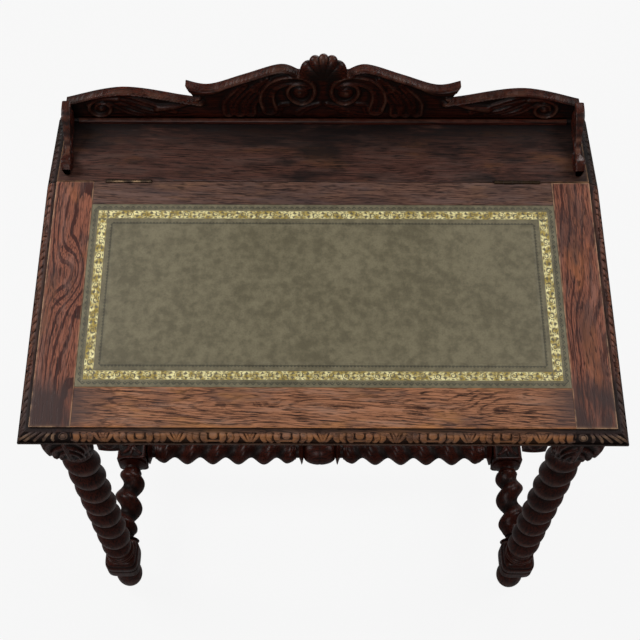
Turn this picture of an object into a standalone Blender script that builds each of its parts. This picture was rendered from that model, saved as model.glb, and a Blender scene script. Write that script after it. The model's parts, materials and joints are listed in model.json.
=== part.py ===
"""Carved oak writing table with a sloping, lifting lid, a gallery and barley-twist legs.

Metres, +Z up, +Y to the back. The origin is on the floor, in the middle of the table's plan.
"""
import math

import bmesh
import bpy
from mathutils import Matrix, Vector

# Stance
FRONT_EDGE_HEIGHT = 0.760      # floor to the arris along the lid's front
GAP = 0.0003                   # glue line or running gap between pieces that touch

# Sloping lid, measured in its own plane
LID_WIDTH = 0.820              # between the two side arrises
LID_LENGTH = 0.396             # hinge line to front arris
LID_SLOPE = math.radians(8.9)
LID_THICKNESS = 0.024
STILE_WIDTH = 0.0583
HINGE_RAIL_WIDTH = 0.0404
FRONT_RAIL_WIDTH = 0.0596
GROOVE_DEPTH = 0.006           # groove in the frame for the panel's tongue
GROOVE_TOP = 0.009             # below the lid's surface
GROOVE_HEIGHT = 0.008
TENON_MARGIN = 0.014           # stub tenon set back from the ends of the stile
PANEL_THICKNESS = 0.016
LEATHER_THICKNESS = 0.0012
LEATHER_SINK = 0.0004          # leather's face below the wood
LID_JOINT = 0.0006             # half the open joint at the hinge line

# Thumb moulding worked on the outer edges of the lid and the shelf
NOSING_REACH = 0.0165
QUIRK_DEPTH = 0.0028
QUIRK_WIDTH = 0.0022
THUMB_HEIGHT = 0.0145
FILLET_PROUD = 0.0018          # the fillet under the thumb stands out beyond it
MOULDING_FALL = 0.0002         # slope of the narrow flats of the moulding
THUMB_STEPS = 4

# Fixed shelf and gallery
SHELF_DEPTH = 0.144            # hinge line to the back edge
CREST_THICKNESS = 0.018
CREST_END_INSET = 0.004        # from the side arris
CREST_END_HEIGHT = 0.034
CREST_WING_AT = 0.768          # places along the crest, as part of the lid's half width
CREST_WING_HEIGHT = 0.057
CREST_DIP_AT = 0.541
CREST_DIP_HEIGHT = 0.040
CREST_TUCK_AT = 0.473
CREST_TUCK_HEIGHT = 0.034
CREST_TIP_AT = 0.522
CREST_TIP_HEIGHT = 0.072
CREST_SCOOP_AT = 0.434
CREST_SCOOP_HEIGHT = 0.064
CREST_CROWN_AT = 0.163
CREST_CROWN_HEIGHT = 0.106
SHELL_MARGIN = 0.001           # flat of the crest beside the shell
CREST_SADDLE_HEIGHT = 0.096
BEAD_DEPTH = 0.007
BEAD_HEIGHT = 0.008
SHELL_HALF_WIDTH = 0.038
SHELL_HEIGHT = 0.041
SHELL_THICKNESS = 0.027
SHELL_LOBES = 7
SHELL_FLUTE = 0.10             # depth of the scallops, as part of the shell's radius
SHELL_EDGE = 0.75              # size of the shell's front and back faces, as part of its widest
BRACKET_THICKNESS = 0.017
BRACKET_INSET = 0.003          # from the side arris
BRACKET_LENGTH = 0.116         # forward from the crest
BRACKET_BACK_HEIGHT = 0.044
BRACKET_WAIST_AT = 0.074
BRACKET_WAIST_HEIGHT = 0.013
BRACKET_LIP_AT = 0.104
BRACKET_LIP_HEIGHT = 0.024
BRACKET_NOSE_HEIGHT = 0.0145

# Legs
LEG_INSET_SIDE = 0.032         # leg axes inside the lid's side arrises
LEG_INSET_FRONT = 0.045        # front leg axes behind the front arris
LEG_INSET_REAR = 0.0382        # rear leg axes before the shelf's back edge
TOP_BLOCK = 0.072
TOP_BLOCK_FOOT = 0.062         # the carved block narrows below the rails
TOP_BLOCK_DROP = 0.155         # bottom of the top block below the front arris
TWIST_DIAMETER = 0.056
TWIST_GROOVE = 0.011
TWIST_PITCH = 0.054
TWIST_SIDES = 8
TWIST_FULLNESS = 1            # 1 leaves a narrow groove between fat ridges
LOWER_BLOCK = 0.062
LOWER_BLOCK_BOTTOM = 0.088
LOWER_BLOCK_TOP = 0.148
LOWER_BLOCK_ROUND = 0.012      # rounding of the block's lower edges
COLLAR_RADIUS = 0.026
COLLAR_HEIGHT = 0.010
COLLAR_NECK = 0.020
FOOT_RADIUS = 0.025
FOOT_BALL_TOP = 0.068          # from the floor
FOOT_NECK_RADIUS = 0.014
FOOT_TOP_RADIUS = 0.019        # the neck flares up to the leg
FOOT_PAD_RADIUS = 0.015
FOOT_DOWEL_RADIUS = 0.008
FOOT_DOWEL_LENGTH = 0.022
FOOT_SIDES = 12

# Stretchers
STRETCHER_DIAMETER = 0.056
STRETCHER_GROOVE = 0.014
STRETCHER_PITCH = 0.0525
STRETCHER_SIDES = 8
STRETCHER_FULLNESS = 2        # 2 winds like a rope, as wide in the groove as on the ridge
STRETCHER_TENON_RADIUS = 0.009
STRETCHER_TENON_LENGTH = 0.018
STRETCHER_RING_RADIUS = 0.028
STRETCHER_RING_EDGE = 0.021
STRETCHER_RING_LENGTH = 0.008
STRETCHER_NECK_RADIUS = 0.014
STRETCHER_NECK_LENGTH = 0.006
MIDDLE_BLOCK = 0.060
BALL_LENGTH = 0.068
BALL_RADIUS = 0.028
CURVE_STEPS = 4                # flats along each half of a bead, ball or rounded edge

# Case under the lid
RAIL_THICKNESS = 0.022
RAIL_BOTTOM_DROP = 0.095       # bottom of the rails below the front arris
TENON_THICKNESS = 0.010
TENON_LENGTH = 0.020
TENON_SHOULDER = 0.014
TENON_HEIGHT = 0.042
BOTTOM_THICKNESS = 0.010
BOTTOM_REBATE = 0.008
EAR_WIDTH = 0.036              # corner bracket under the front rail
EAR_THICKNESS = 0.016
EAR_BELLY = 0.004

# Butt hinges
HINGE_INSET = 0.0177           # between the lid's stile and the end of the hinge
HINGE_LENGTH = 0.070
HINGE_LEAF_HEIGHT = 0.018
HINGE_LEAF_SPLIT = 0.0005      # each leaf's face from the hinge axis
HINGE_RADIUS = 0.0029
HINGE_PIN_RADIUS = 0.0012
HINGE_BORE_RADIUS = 0.0016
HINGE_KNUCKLES = 5
HINGE_SIDES = 8

# Places worked out from the sizes above
STILE_INNER = LID_WIDTH / 2 - STILE_WIDTH
PANEL_FRONT = LID_LENGTH - FRONT_RAIL_WIDTH
SHELF_THICKNESS = LID_THICKNESS / math.cos(LID_SLOPE)
LID_RUN = LID_LENGTH * math.cos(LID_SLOPE)
SHELF_TOP = FRONT_EDGE_HEIGHT + LID_LENGTH * math.sin(LID_SLOPE)
THUMB_BOTTOM = QUIRK_DEPTH + MOULDING_FALL + THUMB_HEIGHT
FILLET_REACH = NOSING_REACH + FILLET_PROUD
FILLET_TOP = THUMB_BOTTOM + MOULDING_FALL
FRONT_REACH = FILLET_REACH * math.cos(LID_SLOPE) - FILLET_TOP * math.sin(LID_SLOPE)
FRONT_Y = FRONT_REACH - (FRONT_REACH + LID_RUN + SHELF_DEPTH) / 2
HINGE_Y = FRONT_Y + LID_RUN
BACK_Y = HINGE_Y + SHELF_DEPTH
CREST_FRONT = BACK_Y - CREST_THICKNESS
LEG_X = LID_WIDTH / 2 - LEG_INSET_SIDE
LEG_FRONT_Y = FRONT_Y + LEG_INSET_FRONT
LEG_REAR_Y = BACK_Y - LEG_INSET_REAR
MIDDLE_Y = (LEG_FRONT_Y + LEG_REAR_Y) / 2
STRETCHER_HEIGHT = (LOWER_BLOCK_BOTTOM + LOWER_BLOCK_TOP) / 2
RAIL_BOTTOM = FRONT_EDGE_HEIGHT - RAIL_BOTTOM_DROP
TOP_BLOCK_BOTTOM = FRONT_EDGE_HEIGHT - TOP_BLOCK_DROP
SHELF_UNDERSIDE = SHELF_TOP - SHELF_THICKNESS
HINGE_AT = STILE_INNER - HINGE_INSET - HINGE_LENGTH / 2
HINGE_RECESS = HINGE_RADIUS + GAP

# Finishes: colour, roughness, metallic
OAK_DARK = ((0.060, 0.026, 0.017), 0.42, 0.0)
OAK_RED = ((0.125, 0.048, 0.026), 0.40, 0.0)
OAK_WORN = ((0.155, 0.066, 0.030), 0.42, 0.0)
OAK_INSIDE = ((0.190, 0.110, 0.060), 0.65, 0.0)
GREEN_LEATHER = ((0.085, 0.082, 0.045), 0.55, 0.0)
AGED_BRASS = ((0.290, 0.220, 0.120), 0.38, 1.0)


def clear_scene():
    for item in list(bpy.data.objects):
        bpy.data.objects.remove(item, do_unlink=True)


def make_material(name, finish):
    colour, roughness, metallic = finish
    material = bpy.data.materials.new(name)
    material.use_nodes = True
    shader = material.node_tree.nodes["Principled BSDF"]
    shader.inputs["Base Color"].default_value = (*colour, 1.0)
    shader.inputs["Roughness"].default_value = roughness
    shader.inputs["Metallic"].default_value = metallic
    return material


def make_object(name, shape, finish=None, parent=None, location=(0, 0, 0)):
    """Turn a bmesh into a named object with its own finish."""
    bmesh.ops.recalc_face_normals(shape, faces=shape.faces)
    mesh = bpy.data.meshes.new(name)
    shape.to_mesh(mesh)
    shape.free()
    piece = bpy.data.objects.new(name, mesh)
    bpy.context.collection.objects.link(piece)
    piece.location = location
    piece.parent = parent
    if finish:
        mesh.materials.append(make_material(name, finish))
    return piece


def combine(piece, shape, operation):
    """Join a second shape to a piece, or cut it away, in the piece's own coordinates."""
    tool = make_object("tool", shape, parent=piece.parent, location=piece.location)
    change = piece.modifiers.new(operation.lower(), "BOOLEAN")
    change.object = tool
    change.operation = operation
    change.solver = "EXACT"
    bpy.context.view_layer.update()
    solved = piece.evaluated_get(bpy.context.evaluated_depsgraph_get())
    before = piece.data
    after = bpy.data.meshes.new_from_object(solved)
    after.name = piece.name
    piece.modifiers.clear()
    piece.data = after
    bpy.data.meshes.remove(before)
    bpy.data.objects.remove(tool, do_unlink=True)


def loft(rings, lean=0):
    """Skin rings of equal length and cap both ends; lean picks the diagonal of each cell."""
    shape = bmesh.new()
    rows = [[shape.verts.new(point) for point in ring] for ring in rings]
    count = len(rows[0])
    for lower, upper in zip(rows, rows[1:]):
        for index in range(count):
            after = (index + 1) % count
            a, b = lower[index], lower[after]
            c, d = upper[after], upper[index]
            if lean > 0:
                shape.faces.new((a, b, c))
                shape.faces.new((a, c, d))
            elif lean < 0:
                shape.faces.new((a, b, d))
                shape.faces.new((b, c, d))
            else:
                shape.faces.new((a, b, c, d))
    shape.faces.new(rows[0])
    shape.faces.new(rows[-1])
    return shape


def prism_x(outline, low, high):
    """Extrude an outline of (y, z) points along X."""
    return loft([[(x, y, z) for y, z in outline] for x in (low, high)])


def prism_y(outline, low, high):
    """Extrude an outline of (x, z) points along Y."""
    return loft([[(x, y, z) for x, z in outline] for y in (low, high)])


def prism_z(outline, low, high):
    """Extrude an outline of (x, y) points along Z."""
    return loft([[(x, y, z) for x, y in outline] for z in (low, high)])


def block(low, high):
    outline = [(low[0], low[1]), (high[0], low[1]), (high[0], high[1]), (low[0], high[1])]
    return prism_z(outline, low[2], high[2])


def smooth_line(points, steps):
    """Points along a Catmull-Rom curve that passes through the given points."""
    padded = [points[0]] + list(points) + [points[-1]]
    line = []
    for index in range(len(points) - 1):
        p0, p1, p2, p3 = (Vector(padded[index + offset]) for offset in range(4))
        for step in range(steps):
            t = step / steps
            bend = (2 * p0 - 5 * p1 + 4 * p2 - p3) * t * t + (3 * p1 - p0 - 3 * p2 + p3) * t ** 3
            line.append(tuple(p1 + ((p2 - p0) * t + bend) / 2))
    line.append(tuple(points[-1]))
    return line


def circle(radius, sides, along):
    """One ring of a turned piece, at a distance along its axis."""
    ring = []
    for index in range(sides):
        angle = 2 * math.pi * (index + 0.5) / sides
        ring.append((radius * math.cos(angle), radius * math.sin(angle), along))
    return ring


def turned(profile, sides):
    return [circle(radius, sides, along) for along, radius in profile]


def bead(start, length, edge, crown):
    """Profile of a round ring: radius edge at both ends and crown in the middle."""
    points = []
    for step in range(CURVE_STEPS + 1):
        share = step / CURVE_STEPS
        points.append((start + length * share, edge + (crown - edge) * math.sin(math.pi * share)))
    return points


def barley_twist(start, end, diameter, groove, pitch, sides, fullness, hand):
    """Rings of a single-start twist, whose ridges are fatter the smaller the fullness power.

    The groove moves on by one corner from ring to ring and fades out at both ends.
    """
    steps = round((end - start) / pitch * sides)
    fade = pitch / 2
    rings = []
    for step in range(steps + 1):
        along = start + (end - start) * step / steps
        near_end = min(along - start, end - along) / fade
        share = min(1.0, near_end)
        depth = groove * share * share * (3 - 2 * share)
        ring = []
        for index in range(sides):
            corner = index + 0.5
            angle = 2 * math.pi * corner / sides
            from_ridge = math.pi * (index - hand * step) / sides
            shrink = (groove - depth) / 2 + depth * (1 - abs(math.cos(from_ridge)) ** fullness)
            radius = diameter / 2 - shrink
            ring.append((radius * math.cos(angle), radius * math.sin(angle), along))
        rings.append(ring)
    return rings


def turn_to_axis(shape, axis):
    """Lay a shape made along Z down along X or Y."""
    if axis == "X":
        turn = Matrix.Rotation(math.pi / 2, 4, "Y")
    else:
        turn = Matrix.Rotation(-math.pi / 2, 4, "X")
    bmesh.ops.transform(shape, matrix=turn, verts=shape.verts)
    return shape


def moved(shape, offset):
    bmesh.ops.translate(shape, vec=offset, verts=shape.verts)
    return shape


def lid_underside(y):
    return SHELF_UNDERSIDE - (HINGE_Y - y) * math.tan(LID_SLOPE)


def nosing_profile(thickness):
    """Reach and height of the thumb moulding, from the arris down to the underside."""
    shoulder = -QUIRK_DEPTH - MOULDING_FALL
    points = [(0.0, 0.0), (0.0, -QUIRK_DEPTH)]
    for step in range(THUMB_STEPS + 1):
        turn = math.pi / 2 * step / THUMB_STEPS
        reach = QUIRK_WIDTH + (NOSING_REACH - QUIRK_WIDTH) * math.sin(turn)
        points.append((reach, shoulder - THUMB_HEIGHT * (1 - math.cos(turn))))
    points.append((FILLET_REACH, -FILLET_TOP))
    points.append((FILLET_REACH, -thickness))
    return points


def lid_back(height):
    """Distance from the hinge axis, along the lid, of its upright back edge."""
    return (LID_JOINT - height * math.sin(LID_SLOPE)) / math.cos(LID_SLOPE)


def groove_levels(clearance):
    top = -GROOVE_TOP - clearance
    bottom = -GROOVE_TOP - GROOVE_HEIGHT + clearance
    return top, bottom


def make_stile(name, side, pivot):
    rings = []
    for reach, height in nosing_profile(LID_THICKNESS):
        inner = side * STILE_INNER
        outer = side * (LID_WIDTH / 2 + reach)
        back = -lid_back(height)
        front = -LID_LENGTH - reach
        ring = [(inner, back), (inner, front), (outer, front), (outer, back)]
        rings.append([(x, y, height) for x, y in ring])
    stile = make_object(name, loft(rings), OAK_RED, pivot)
    top, bottom = groove_levels(0)
    edges = sorted((side * (STILE_INNER - GROOVE_DEPTH), side * (STILE_INNER + GROOVE_DEPTH)))
    low = (edges[0], -LID_LENGTH + TENON_MARGIN - GAP, bottom)
    high = (edges[1], -TENON_MARGIN + GAP, top)
    combine(stile, block(low, high), "DIFFERENCE")
    return stile


def add_stub_tenons(rail, back, front):
    """Tenons at both ends of a lid rail, fitting the grooves of the stiles."""
    top, bottom = groove_levels(GAP)
    reach = STILE_INNER + GROOVE_DEPTH - GAP
    root = STILE_INNER - GROOVE_DEPTH
    for low, high in ((-reach, -root), (root, reach)):
        combine(rail, block((low, -front, bottom), (high, -back, top)), "UNION")


def make_hinge_rail(pivot):
    top, bottom = groove_levels(0)
    groove = HINGE_RAIL_WIDTH - GROOVE_DEPTH
    section = [
        (-lid_back(0), 0),
        (-HINGE_RAIL_WIDTH, 0),
        (-HINGE_RAIL_WIDTH, top),
        (-groove, top),
        (-groove, bottom),
        (-HINGE_RAIL_WIDTH, bottom),
        (-HINGE_RAIL_WIDTH, -LID_THICKNESS),
        (-lid_back(-LID_THICKNESS), -LID_THICKNESS),
    ]
    half = STILE_INNER - GAP
    rail = make_object("lid_hinge_rail", prism_x(section, -half, half), OAK_WORN, pivot)
    add_stub_tenons(rail, TENON_MARGIN, groove - GAP)
    for side in (-1, 1):
        combine(rail, hinge_recess(side, -1), "DIFFERENCE")
    return rail


def make_front_rail_of_lid(pivot):
    top, bottom = groove_levels(0)
    groove = PANEL_FRONT + GROOVE_DEPTH
    section = [(-LID_LENGTH - reach, height) for reach, height in nosing_profile(LID_THICKNESS)]
    section += [
        (-PANEL_FRONT, -LID_THICKNESS),
        (-PANEL_FRONT, bottom),
        (-groove, bottom),
        (-groove, top),
        (-PANEL_FRONT, top),
        (-PANEL_FRONT, 0),
    ]
    half = STILE_INNER - GAP
    rail = make_object("lid_front_rail", prism_x(section, -half, half), OAK_WORN, pivot)
    add_stub_tenons(rail, groove + GAP, LID_LENGTH - TENON_MARGIN)
    return rail


def make_panel(pivot):
    surface = -LEATHER_SINK - LEATHER_THICKNESS - GAP
    half = STILE_INNER - GAP
    back = -HINGE_RAIL_WIDTH - GAP
    front = -PANEL_FRONT + GAP
    body = block((-half, front, surface - PANEL_THICKNESS), (half, back, surface))
    panel = make_object("lid_panel", body, OAK_INSIDE, pivot)
    top, bottom = groove_levels(GAP)
    tongue = GROOVE_DEPTH - GAP
    low = (-half - tongue, front - tongue, bottom)
    high = (half + tongue, back + tongue, top)
    combine(panel, block(low, high), "UNION")
    return panel


def make_leather(pivot):
    half = STILE_INNER - GAP
    low = (-half, -PANEL_FRONT + GAP, -LEATHER_SINK - LEATHER_THICKNESS)
    high = (half, -HINGE_RAIL_WIDTH - GAP, -LEATHER_SINK)
    return make_object("lid_leather", block(low, high), GREEN_LEATHER, pivot)


def hinge_recess(side, facing):
    """Housing for one hinge in the lid's edge (facing -1) or the shelf's edge (facing 1)."""
    half = HINGE_LENGTH / 2 + GAP
    middle = side * HINGE_AT
    edges = sorted((0.0, facing * HINGE_RECESS))
    low = (middle - half, edges[0], -HINGE_LEAF_HEIGHT - GAP)
    high = (middle + half, edges[1], HINGE_RADIUS)
    housing = block(low, high)
    if facing < 0:
        level = Matrix.Rotation(-LID_SLOPE, 4, "X")
        bmesh.ops.transform(housing, matrix=level, verts=housing.verts)
    return housing


def make_hinge_leaf(name, side, facing, parent, location):
    """Plate with its own knuckles round the hinge axis, bored for the pin."""
    middle = side * HINGE_AT
    start = middle - HINGE_LENGTH / 2
    pitch = HINGE_LENGTH / HINGE_KNUCKLES
    near, far = sorted((facing * HINGE_LEAF_SPLIT, facing * HINGE_RADIUS))
    plate_top = -HINGE_RECESS
    plate = block((start, near, -HINGE_LEAF_HEIGHT), (start + HINGE_LENGTH, far, plate_top))
    leaf = make_object(name, plate, AGED_BRASS, location=location)
    first = 0 if facing > 0 else 1
    for index in range(first, HINGE_KNUCKLES, 2):
        low = start + index * pitch + GAP / 2
        high = low + pitch - GAP
        barrel = turn_to_axis(loft(turned([(low, HINGE_RADIUS), (high, HINGE_RADIUS)], HINGE_SIDES)), "X")
        combine(leaf, block((low, near, plate_top - GAP), (high, far, 0)), "UNION")
        combine(leaf, barrel, "UNION")
    ends = [(start - GAP, HINGE_BORE_RADIUS), (start + HINGE_LENGTH + GAP, HINGE_BORE_RADIUS)]
    combine(leaf, turn_to_axis(loft(turned(ends, HINGE_SIDES)), "X"), "DIFFERENCE")
    if parent:
        leaf.data.transform(Matrix.Rotation(-LID_SLOPE, 4, "X"))
        leaf.location = (0, 0, 0)
        leaf.parent = parent
    return leaf


def make_hinge(side_name, side, pivot):
    axis = (0, HINGE_Y, SHELF_TOP)
    make_hinge_leaf(f"hinge_fixed_leaf_{side_name}", side, 1, None, axis)
    make_hinge_leaf(f"hinge_lid_leaf_{side_name}", side, -1, pivot, axis)
    half = HINGE_LENGTH / 2
    ends = [(side * HINGE_AT - half, HINGE_PIN_RADIUS), (side * HINGE_AT + half, HINGE_PIN_RADIUS)]
    pin = turn_to_axis(loft(turned(ends, HINGE_SIDES)), "X")
    make_object(f"hinge_pin_{side_name}", pin, AGED_BRASS, location=axis)


def make_shelf():
    rings = []
    for reach, height in nosing_profile(SHELF_THICKNESS):
        half = LID_WIDTH / 2 + reach
        ring = [(-half, LID_JOINT), (half, LID_JOINT), (half, SHELF_DEPTH), (-half, SHELF_DEPTH)]
        rings.append([(x, y, height) for x, y in ring])
    shelf = make_object("shelf", loft(rings), OAK_RED, location=(0, HINGE_Y, SHELF_TOP))
    for side in (-1, 1):
        combine(shelf, hinge_recess(side, 1), "DIFFERENCE")
    return shelf


def crest_outline():
    """Half of the crest's top line, from its end to the shell's seat, mirrored."""
    half_width = LID_WIDTH / 2
    end = half_width - CREST_END_INSET
    tuck = Vector((half_width * CREST_TUCK_AT, CREST_TUCK_HEIGHT))
    tip = Vector((half_width * CREST_TIP_AT, CREST_TIP_HEIGHT))
    scoop = Vector((half_width * CREST_SCOOP_AT, CREST_SCOOP_HEIGHT))
    crown = Vector((half_width * CREST_CROWN_AT, CREST_CROWN_HEIGHT))
    wing = [
        (end, CREST_END_HEIGHT),
        (half_width * CREST_WING_AT, CREST_WING_HEIGHT),
        (half_width * CREST_DIP_AT, CREST_DIP_HEIGHT),
        tuck,
    ]
    hollow = Vector(((tuck.x + tip.x) / 2, tuck.y + (tip.y - tuck.y) / 3))
    leaf_back = [tuck, hollow, tip]
    saddle = (SHELL_HALF_WIDTH + SHELL_MARGIN, CREST_SADDLE_HEIGHT)
    leaf_top = [tip, scoop, (scoop + crown) / 2, crown, saddle]
    half = [(end, 0.0)]
    half += smooth_line(wing, CURVE_STEPS)[:-1]
    half += smooth_line(leaf_back, CURVE_STEPS)[:-1]
    half += smooth_line(leaf_top, CURVE_STEPS)
    mirrored = [(-x, z) for x, z in reversed(half)]
    return half + mirrored


def make_gallery():
    seat = SHELF_TOP + GAP
    crest = prism_y(crest_outline(), 0, CREST_THICKNESS)
    make_object("crest_board", crest, OAK_DARK, location=(0, CREST_FRONT, seat))
    bracket_outer = LID_WIDTH / 2 - BRACKET_INSET
    bracket_inner = bracket_outer - BRACKET_THICKNESS
    make_crest_bead(bracket_inner - GAP, seat)
    make_crest_shell(seat)
    outline = bracket_outline()
    for side_name, side in (("left", -1), ("right", 1)):
        low, high = sorted((side * bracket_inner, side * bracket_outer))
        place = (0, CREST_FRONT - GAP, seat)
        make_object(f"gallery_bracket_{side_name}", prism_x(outline, low, high), OAK_DARK, location=place)


def make_crest_bead(half, seat):
    section = [(0.0, 0.0)]
    for step in range(CURVE_STEPS + 1):
        turn = math.pi / 2 * step / CURVE_STEPS
        section.append((-BEAD_DEPTH * math.sin(turn), BEAD_HEIGHT * math.cos(turn)))
    place = (0, CREST_FRONT - GAP, seat)
    make_object("crest_bead", prism_x(section, -half, half), OAK_DARK, location=place)


def make_crest_shell(seat):
    """Scalloped fan, domed to the front, standing on the flat of the crest."""
    outline = []
    steps = SHELL_LOBES * CURVE_STEPS
    for step in range(steps + 1):
        angle = math.pi * step / steps
        scallop = 1 - SHELL_FLUTE * (1 - abs(math.sin(SHELL_LOBES * angle)))
        across = SHELL_HALF_WIDTH * scallop * math.cos(angle)
        outline.append((across, SHELL_HEIGHT * scallop * math.sin(angle)))
    rings = []
    for depth, size in bead(-SHELL_THICKNESS, SHELL_THICKNESS, SHELL_EDGE, 1.0):
        rings.append([(x * size, depth, z * size) for x, z in outline])
    place = (0, BACK_Y, seat + CREST_SADDLE_HEIGHT + GAP)
    make_object("crest_shell", loft(rings), OAK_WORN, location=place)


def bracket_outline():
    """Side view of a gallery bracket: y runs forward from the crest as a negative number."""
    shoulder = BRACKET_WAIST_AT / 3
    fall = BRACKET_WAIST_AT * 2 / 3
    fall_height = (BRACKET_BACK_HEIGHT + BRACKET_WAIST_HEIGHT) / 2
    top = [
        (0.0, BRACKET_BACK_HEIGHT),
        (shoulder, BRACKET_BACK_HEIGHT),
        (fall, fall_height),
        (BRACKET_WAIST_AT, BRACKET_WAIST_HEIGHT),
        (BRACKET_LIP_AT, BRACKET_LIP_HEIGHT),
        (BRACKET_LENGTH, BRACKET_NOSE_HEIGHT),
        (BRACKET_LIP_AT, 0.0),
    ]
    return [(0.0, 0.0)] + [(-y, z) for y, z in smooth_line(top, CURVE_STEPS)]


def leg_shaft(hand):
    """The turned part of a leg, rooted inside both of its square blocks."""
    root = LOWER_BLOCK / 4
    profile = [(LOWER_BLOCK_TOP - root, COLLAR_NECK)]
    collar = LOWER_BLOCK_TOP + GAP
    for _ in range(2):
        profile += bead(collar, COLLAR_HEIGHT, COLLAR_NECK, COLLAR_RADIUS)
        collar += COLLAR_HEIGHT + GAP
    twist = barley_twist(collar, TOP_BLOCK_BOTTOM - GAP, TWIST_DIAMETER, TWIST_GROOVE,
                         TWIST_PITCH, TWIST_SIDES, TWIST_FULLNESS, hand)
    top = circle(COLLAR_NECK, TWIST_SIDES, TOP_BLOCK_BOTTOM + root)
    return loft(turned(profile, TWIST_SIDES) + twist + [top], hand)


def square(size, height):
    half = size / 2
    return [(x, y, height) for x, y in ((-half, -half), (half, -half), (half, half), (-half, half))]


def lower_block():
    """Square block for the stretcher's tenon, rounded along its lower edges."""
    rings = []
    for step in range(CURVE_STEPS + 1):
        turn = math.pi / 2 * step / CURVE_STEPS
        inset = LOWER_BLOCK_ROUND * (1 - math.sin(turn))
        height = LOWER_BLOCK_BOTTOM + LOWER_BLOCK_ROUND * (1 - math.cos(turn))
        rings.append(square(LOWER_BLOCK - 2 * inset, height))
    rings.append(square(LOWER_BLOCK, LOWER_BLOCK_TOP))
    return loft(rings)


def make_leg(name, x, y, hand, top_at):
    """One post: lower block, collars, twist and the top block, with its mortises."""
    top = [(px, py, top_at(y + py) - GAP) for px, py, _ in square(TOP_BLOCK, 0)]
    rings = [square(TOP_BLOCK_FOOT, TOP_BLOCK_BOTTOM), square(TOP_BLOCK, RAIL_BOTTOM), top]
    leg = make_object(name, loft(rings), OAK_DARK, location=(x, y, 0))
    combine(leg, leg_shaft(hand), "UNION")
    combine(leg, lower_block(), "UNION")
    inward_x = -math.copysign(1, x)
    inward_y = 1 if y < MIDDLE_Y else -1
    combine(leg, mortise(inward_x, "X"), "DIFFERENCE")
    combine(leg, mortise(inward_y, "Y"), "DIFFERENCE")
    tenon = dowel_hole(STRETCHER_TENON_RADIUS, STRETCHER_TENON_LENGTH, STRETCHER_SIDES)
    tenon = moved(turn_to_axis(tenon, "Y"), (0, inward_y * LOWER_BLOCK / 2, STRETCHER_HEIGHT))
    combine(leg, tenon, "DIFFERENCE")
    socket = moved(dowel_hole(FOOT_DOWEL_RADIUS, FOOT_DOWEL_LENGTH, FOOT_SIDES), (0, 0, LOWER_BLOCK_BOTTOM))
    combine(leg, socket, "DIFFERENCE")
    return leg


def mortise(inward, axis):
    """Pocket in a top block for a rail's tenon, entering from the block's inner face."""
    face = TOP_BLOCK / 2
    deep = face - TENON_LENGTH - GAP
    low, high = sorted((inward * deep, inward * (face + GAP)))
    half = TENON_THICKNESS / 2 + GAP
    foot = RAIL_BOTTOM + TENON_SHOULDER - GAP
    head = RAIL_BOTTOM + TENON_SHOULDER + TENON_HEIGHT + GAP
    if axis == "X":
        return block((low, -half, foot), (high, half, head))
    return block((-half, low, foot), (half, high, head))


def dowel_hole(radius, length, sides):
    """Cutter for a round socket, centred on the face that it enters."""
    wide = radius + GAP / math.cos(math.pi / sides)
    deep = length + GAP
    return loft(turned([(-deep, wide), (deep, wide)], sides))


def make_foot(name, x, y):
    """Ball on a flat pad, with a neck up to the leg and a dowel into it."""
    seat = LOWER_BLOCK_BOTTOM - GAP
    steps = 2 * CURVE_STEPS
    bottom = math.asin(FOOT_PAD_RADIUS / FOOT_RADIUS)
    top = math.pi - math.asin(FOOT_NECK_RADIUS / FOOT_RADIUS)
    rise = FOOT_BALL_TOP / (math.cos(bottom) - math.cos(top))
    profile = []
    for step in range(steps + 1):
        angle = bottom + (top - bottom) * step / steps
        profile.append((rise * (math.cos(bottom) - math.cos(angle)), FOOT_RADIUS * math.sin(angle)))
    profile += [
        (seat, FOOT_TOP_RADIUS),
        (seat, FOOT_DOWEL_RADIUS),
        (seat + FOOT_DOWEL_LENGTH, FOOT_DOWEL_RADIUS),
    ]
    foot = loft(turned(profile, FOOT_SIDES))
    make_object(name, foot, OAK_DARK, location=(x, y, 0))


def stretcher_ring(start, way):
    """A ring and neck beside a block, listed from the block outwards."""
    length = STRETCHER_RING_LENGTH
    neck = start + way * (length + STRETCHER_NECK_LENGTH / 2)
    ring = bead(start + way * GAP, way * length, STRETCHER_RING_EDGE, STRETCHER_RING_RADIUS)
    return ring + [(neck, STRETCHER_NECK_RADIUS)]


def stretcher_span(start, end, hand, tail=None):
    """Rings, necks and twist between two blocks; tail is where a tenon ends before start."""
    inset = STRETCHER_RING_LENGTH + STRETCHER_NECK_LENGTH
    rings = []
    if tail is not None:
        tenon = [(tail, STRETCHER_TENON_RADIUS), (start, STRETCHER_TENON_RADIUS)]
        rings += turned(tenon, STRETCHER_SIDES)
        rings.append(circle(STRETCHER_RING_EDGE, STRETCHER_SIDES, start))
    rings += turned(stretcher_ring(start, 1), STRETCHER_SIDES)
    rings += barley_twist(start + inset, end - inset, STRETCHER_DIAMETER, STRETCHER_GROOVE,
                          STRETCHER_PITCH, STRETCHER_SIDES, STRETCHER_FULLNESS, hand)
    rings += turned(reversed(stretcher_ring(end, -1)), STRETCHER_SIDES)
    return rings


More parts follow.
